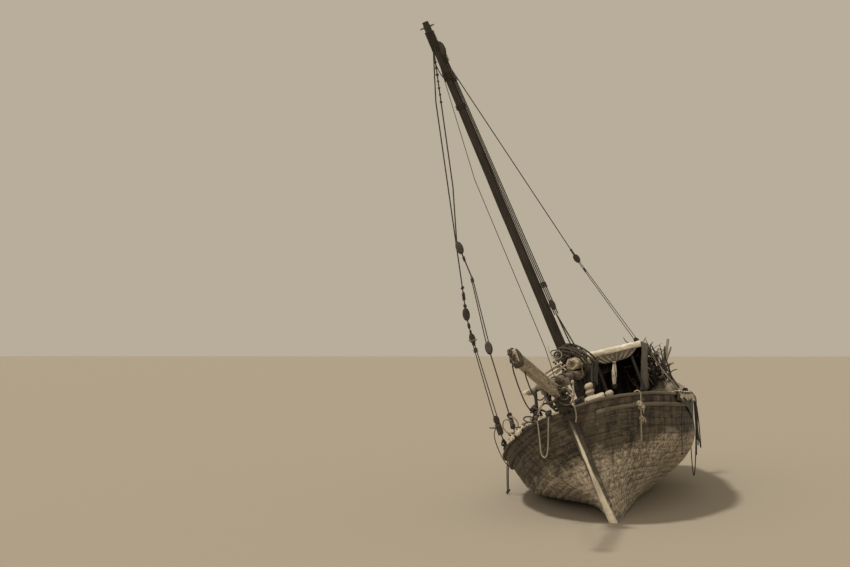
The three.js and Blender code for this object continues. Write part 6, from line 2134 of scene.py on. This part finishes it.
# The rag fender's knots and the thin line beside it.
def buildSideKnots():
    parts = []
    for i, (z, y, size) in enumerate(((2.46, 1.10, 0.075), (2.41, 1.13, 0.085), (2.36, 1.14, 0.07), (2.20, 1.06, 0.062),
                                      (2.16, 1.06, 0.05))):
        parts.append(knot("knot", (4.57, y + 0.045, z), size, 0.020, "paleRope", 0.4 + i * 0.9))
    for points in (((4.57, 1.12, 2.44), (4.58, 1.20, 2.42), (4.60, 1.20, 2.33), (4.59, 1.17, 2.27)),
                   ((4.56, 1.10, 2.50), (4.55, 1.03, 2.49), (4.55, 1.01, 2.42), (4.56, 1.02, 2.38)),
                   ((4.57, 1.10, 2.22), (4.58, 1.16, 2.18), (4.58, 1.15, 2.10))):
        parts.append(ropeThrough("end", points, 0.013, "paleRope"))
    finishPiece(joinPieces("fenderKnots", parts), "")
    x = 2.55
    high = railZ(x)
    outer = topsideY(x, high) + hull["railOverhang"]
    start = toRow @ Vector((x, outer - 0.08, high + 0.009))
    over = toRow @ Vector((x, outer + 0.012, high - 0.01))
    points = [start, (start + over) / 2 + Vector((0, 0.008, 0.014)), over]
    for i in range(1, 9):
        points.append(over + Vector((0.01 * math.sin(i), 0.004 * math.sin(i * 2) + 0.004, -0.15 * i)))
    path = easedPath(smoothPath(points, 0.008), 10)
    ball = knot("sideLineKnot", path[-1], 0.030, 0.008, "darkRope", 0.5, level)
    finishPiece(ball, "")
    line = ropeAlong("sideLine", path, 0.008, "darkRope", level)
    finishPiece(line, "")
    tuple(path[0])
    round(pathLength(path), 2)


buildSideKnots()

# Rags and slack rope on the starboard rail by the fore shroud.
starboardRags = ((4.36, 0.26, 0.10, 3), (4.70, 0.22, 0.12, 8))


def buildStarboardRags():
    for index, (start, width, drop, seed) in enumerate(starboardRags):
        def place(u, v, start=start, width=width, drop=drop, seed=seed):
            x = start + width * u
            high = railZ(x)
            outer = topsideY(x, high) + hull["railOverhang"] + 0.012
            inner = outer - hull["railWidth"] - 0.024
            torn = 0.08 * noise.noise((u * 9, seed, 3))
            inside, over, outside = drop + torn, outer - inner, 0.05 - 0.3 * torn
            walk = v * (inside + over + outside)
            rumple = 0.045 * abs(noise.noise((u * 8, v * 6, seed))) + 0.012 * abs(math.sin(u * 17))
            if walk < inside:
                y, z = inner - rumple, high + 0.010 - (inside - walk)
            elif walk < inside + over:
                y, z = inner + walk - inside, high + 0.014 + rumple * 1.6
            else:
                y, z = outer + rumple, high + 0.010 - (walk - inside - over)
            return Vector((x, -y, z))

        clothPiece("starboardRag%d" % (index + 1), 40, 24, place, "ragCloth")
    parts = []
    chance = random.Random(31)
    for i in range(9):
        x = 4.1 + 0.11 * i
        high = railZ(x) + 0.03
        edge = -topsideY(x, high)
        centre = Vector((x, edge + 0.05 + chance.uniform(0, 0.10), high + chance.uniform(0.02, 0.10)))
        lean = Vector((chance.uniform(-0.6, 0.6), chance.uniform(-0.6, 0.6), 1)).normalized()
        rope = chance.uniform(0.010, 0.016)
        path = turnsPath(centre - lean * rope, centre + lean * rope, chance.uniform(0.05, 0.12), 1, 20, 0.4, i)
        parts.append(ropeAlong("loop", smoothPath(path[::2], rope), rope, "paleRope" if i % 3 == 0 else "brownRope"))
    finishPiece(joinPieces("starboardRailRopes", parts), "")


buildStarboardRags()
print("ropes and rags over the rails made")

# Awning poles, hatch boards, rudder and small iron.
def buildAwningFrames():
    for x, node, name in ((awning["frames"][1], "awning_frame_fore", "awningFrameFore"),
                          (awning["frames"][0], "awning_frame_aft", "awningFrameAft")):
        yRoll, _ = rollAt(x)
        made = []
        a, b = yRoll + 0.16, awning["outerY"] - 0.06
        made.append(sparPiece("bar", ((x, a, roofZ(x, a) - 0.045, 0.034), (x, b, roofZ(x, b) - 0.045, 0.030)), 14, 0.06,
                              0.006))
        for step in (0.20, 0.95):
            y = yRoll + step
            foot = deckZ(x) if x > -3.0 else railZ(x) - hull["raisedDrop"]
            made.append(sparPiece("post", ((x, y, foot + 0.002, 0.038), (x, y, roofZ(x, y) - 0.085, 0.032)), 14, 0.08,
                                  0.007, seed=step * 9))
        finishPiece(joinPieces(name, made), "sparTimber", [node])


def buildHatchBoards():
    made = []
    count, start, end = 14, -2.54, 0.54
    width = (end - start) / count
    for i in range(count):
        x = start + width * (i + 0.5)
        z = deckZ(x) + 0.263
        slip = 0.02 * noise.noise((i * 2.3, 0, 0))
        made.append(timberBar("board", (x, -0.735 + slip, z), (x, 0.735 + slip, z), width - 0.012, 0.036, 0.004, 0.004, 6,
                              up=(0, 0, 1), seed=i))
    finishPiece(joinPieces("hatchBoards", made), "deckPlanks", ["hatch_boards"])


buildAwningFrames()
buildHatchBoards()
stern = (
    ("rudder", "rudderBlade", "greyTimber", 0.010, 0.006, 0.15, "rudder_assembly"),
    ("tiller", "tillerBar", "darkTimber", 0.012, 0.003, 0.15, "rudder_assembly"),
)
for node, name, material, bevel, rough, longest, body in stern:
    finishPiece(dressNode(node, name, bevel, rough, longest), material, [node], body)


def buildAnchor():
    # A four-armed grapnel, its shank and arms round, with flattened ends.
    crown, foot = Vector((4.84, -0.56, 2.96)), Vector((4.33, -0.56, 2.32))
    along = (foot - crown).normalized()
    shank = sparPiece("shank", ((*crown, 0.024), (*foot, 0.028)), 16, 0.05, 0.002)
    made = [shank]
    side = along.cross(Vector((0, 1, 0))).normalized()
    up = along.cross(side).normalized()
    for i in range(4):
        angle = math.radians(45 + 90 * i)
        out = side * math.cos(angle) + up * math.sin(angle)
        points = [crown, crown + out * 0.09 - along * 0.03, crown + out * 0.18 - along * 0.005, crown + out * 0.245 + along * 0.07,
                  crown + out * 0.27 + along * 0.14]
        path = smoothPath(points, 0.02)
        made.append(sparPiece("arm", [(*p, 0.021 - 0.008 * k / len(path)) for k, p in enumerate(path)], 12, 0.1, 0.001))
    ring = turnsPath(foot + along * 0.03 - side * 0.008, foot + along * 0.03 + side * 0.008, 0.045, 1, 24)
    made.append(sparPiece("ring", [(*p, 0.009) for p in ring[:-1]], 8, 0.1, 0.0))
    finishPiece(joinPieces("grapnelAnchor", made), "iron", ["grapnel_anchor"])


buildAnchor()
print("deck fittings and stern made")

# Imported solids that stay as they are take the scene's materials.
looks = {
    "weathered_plank": "greyTimber", "deck_plank": "deckPlanks", "bleached_wood": "bleachedTimber",
    "spar": "greyTimber", "iron": "iron", "canvas": "sailCloth", "awning_cloth": "awningCloth",
    "rope": "brownRope", "dark_rope": "darkRope",
}
for entry in frame["record"]["subparts"]:
    node = frame["nodes"][entry["node"]]
    node.data.materials.clear()
    node.data.materials.append(materials[looks[entry["material_slot"]]])
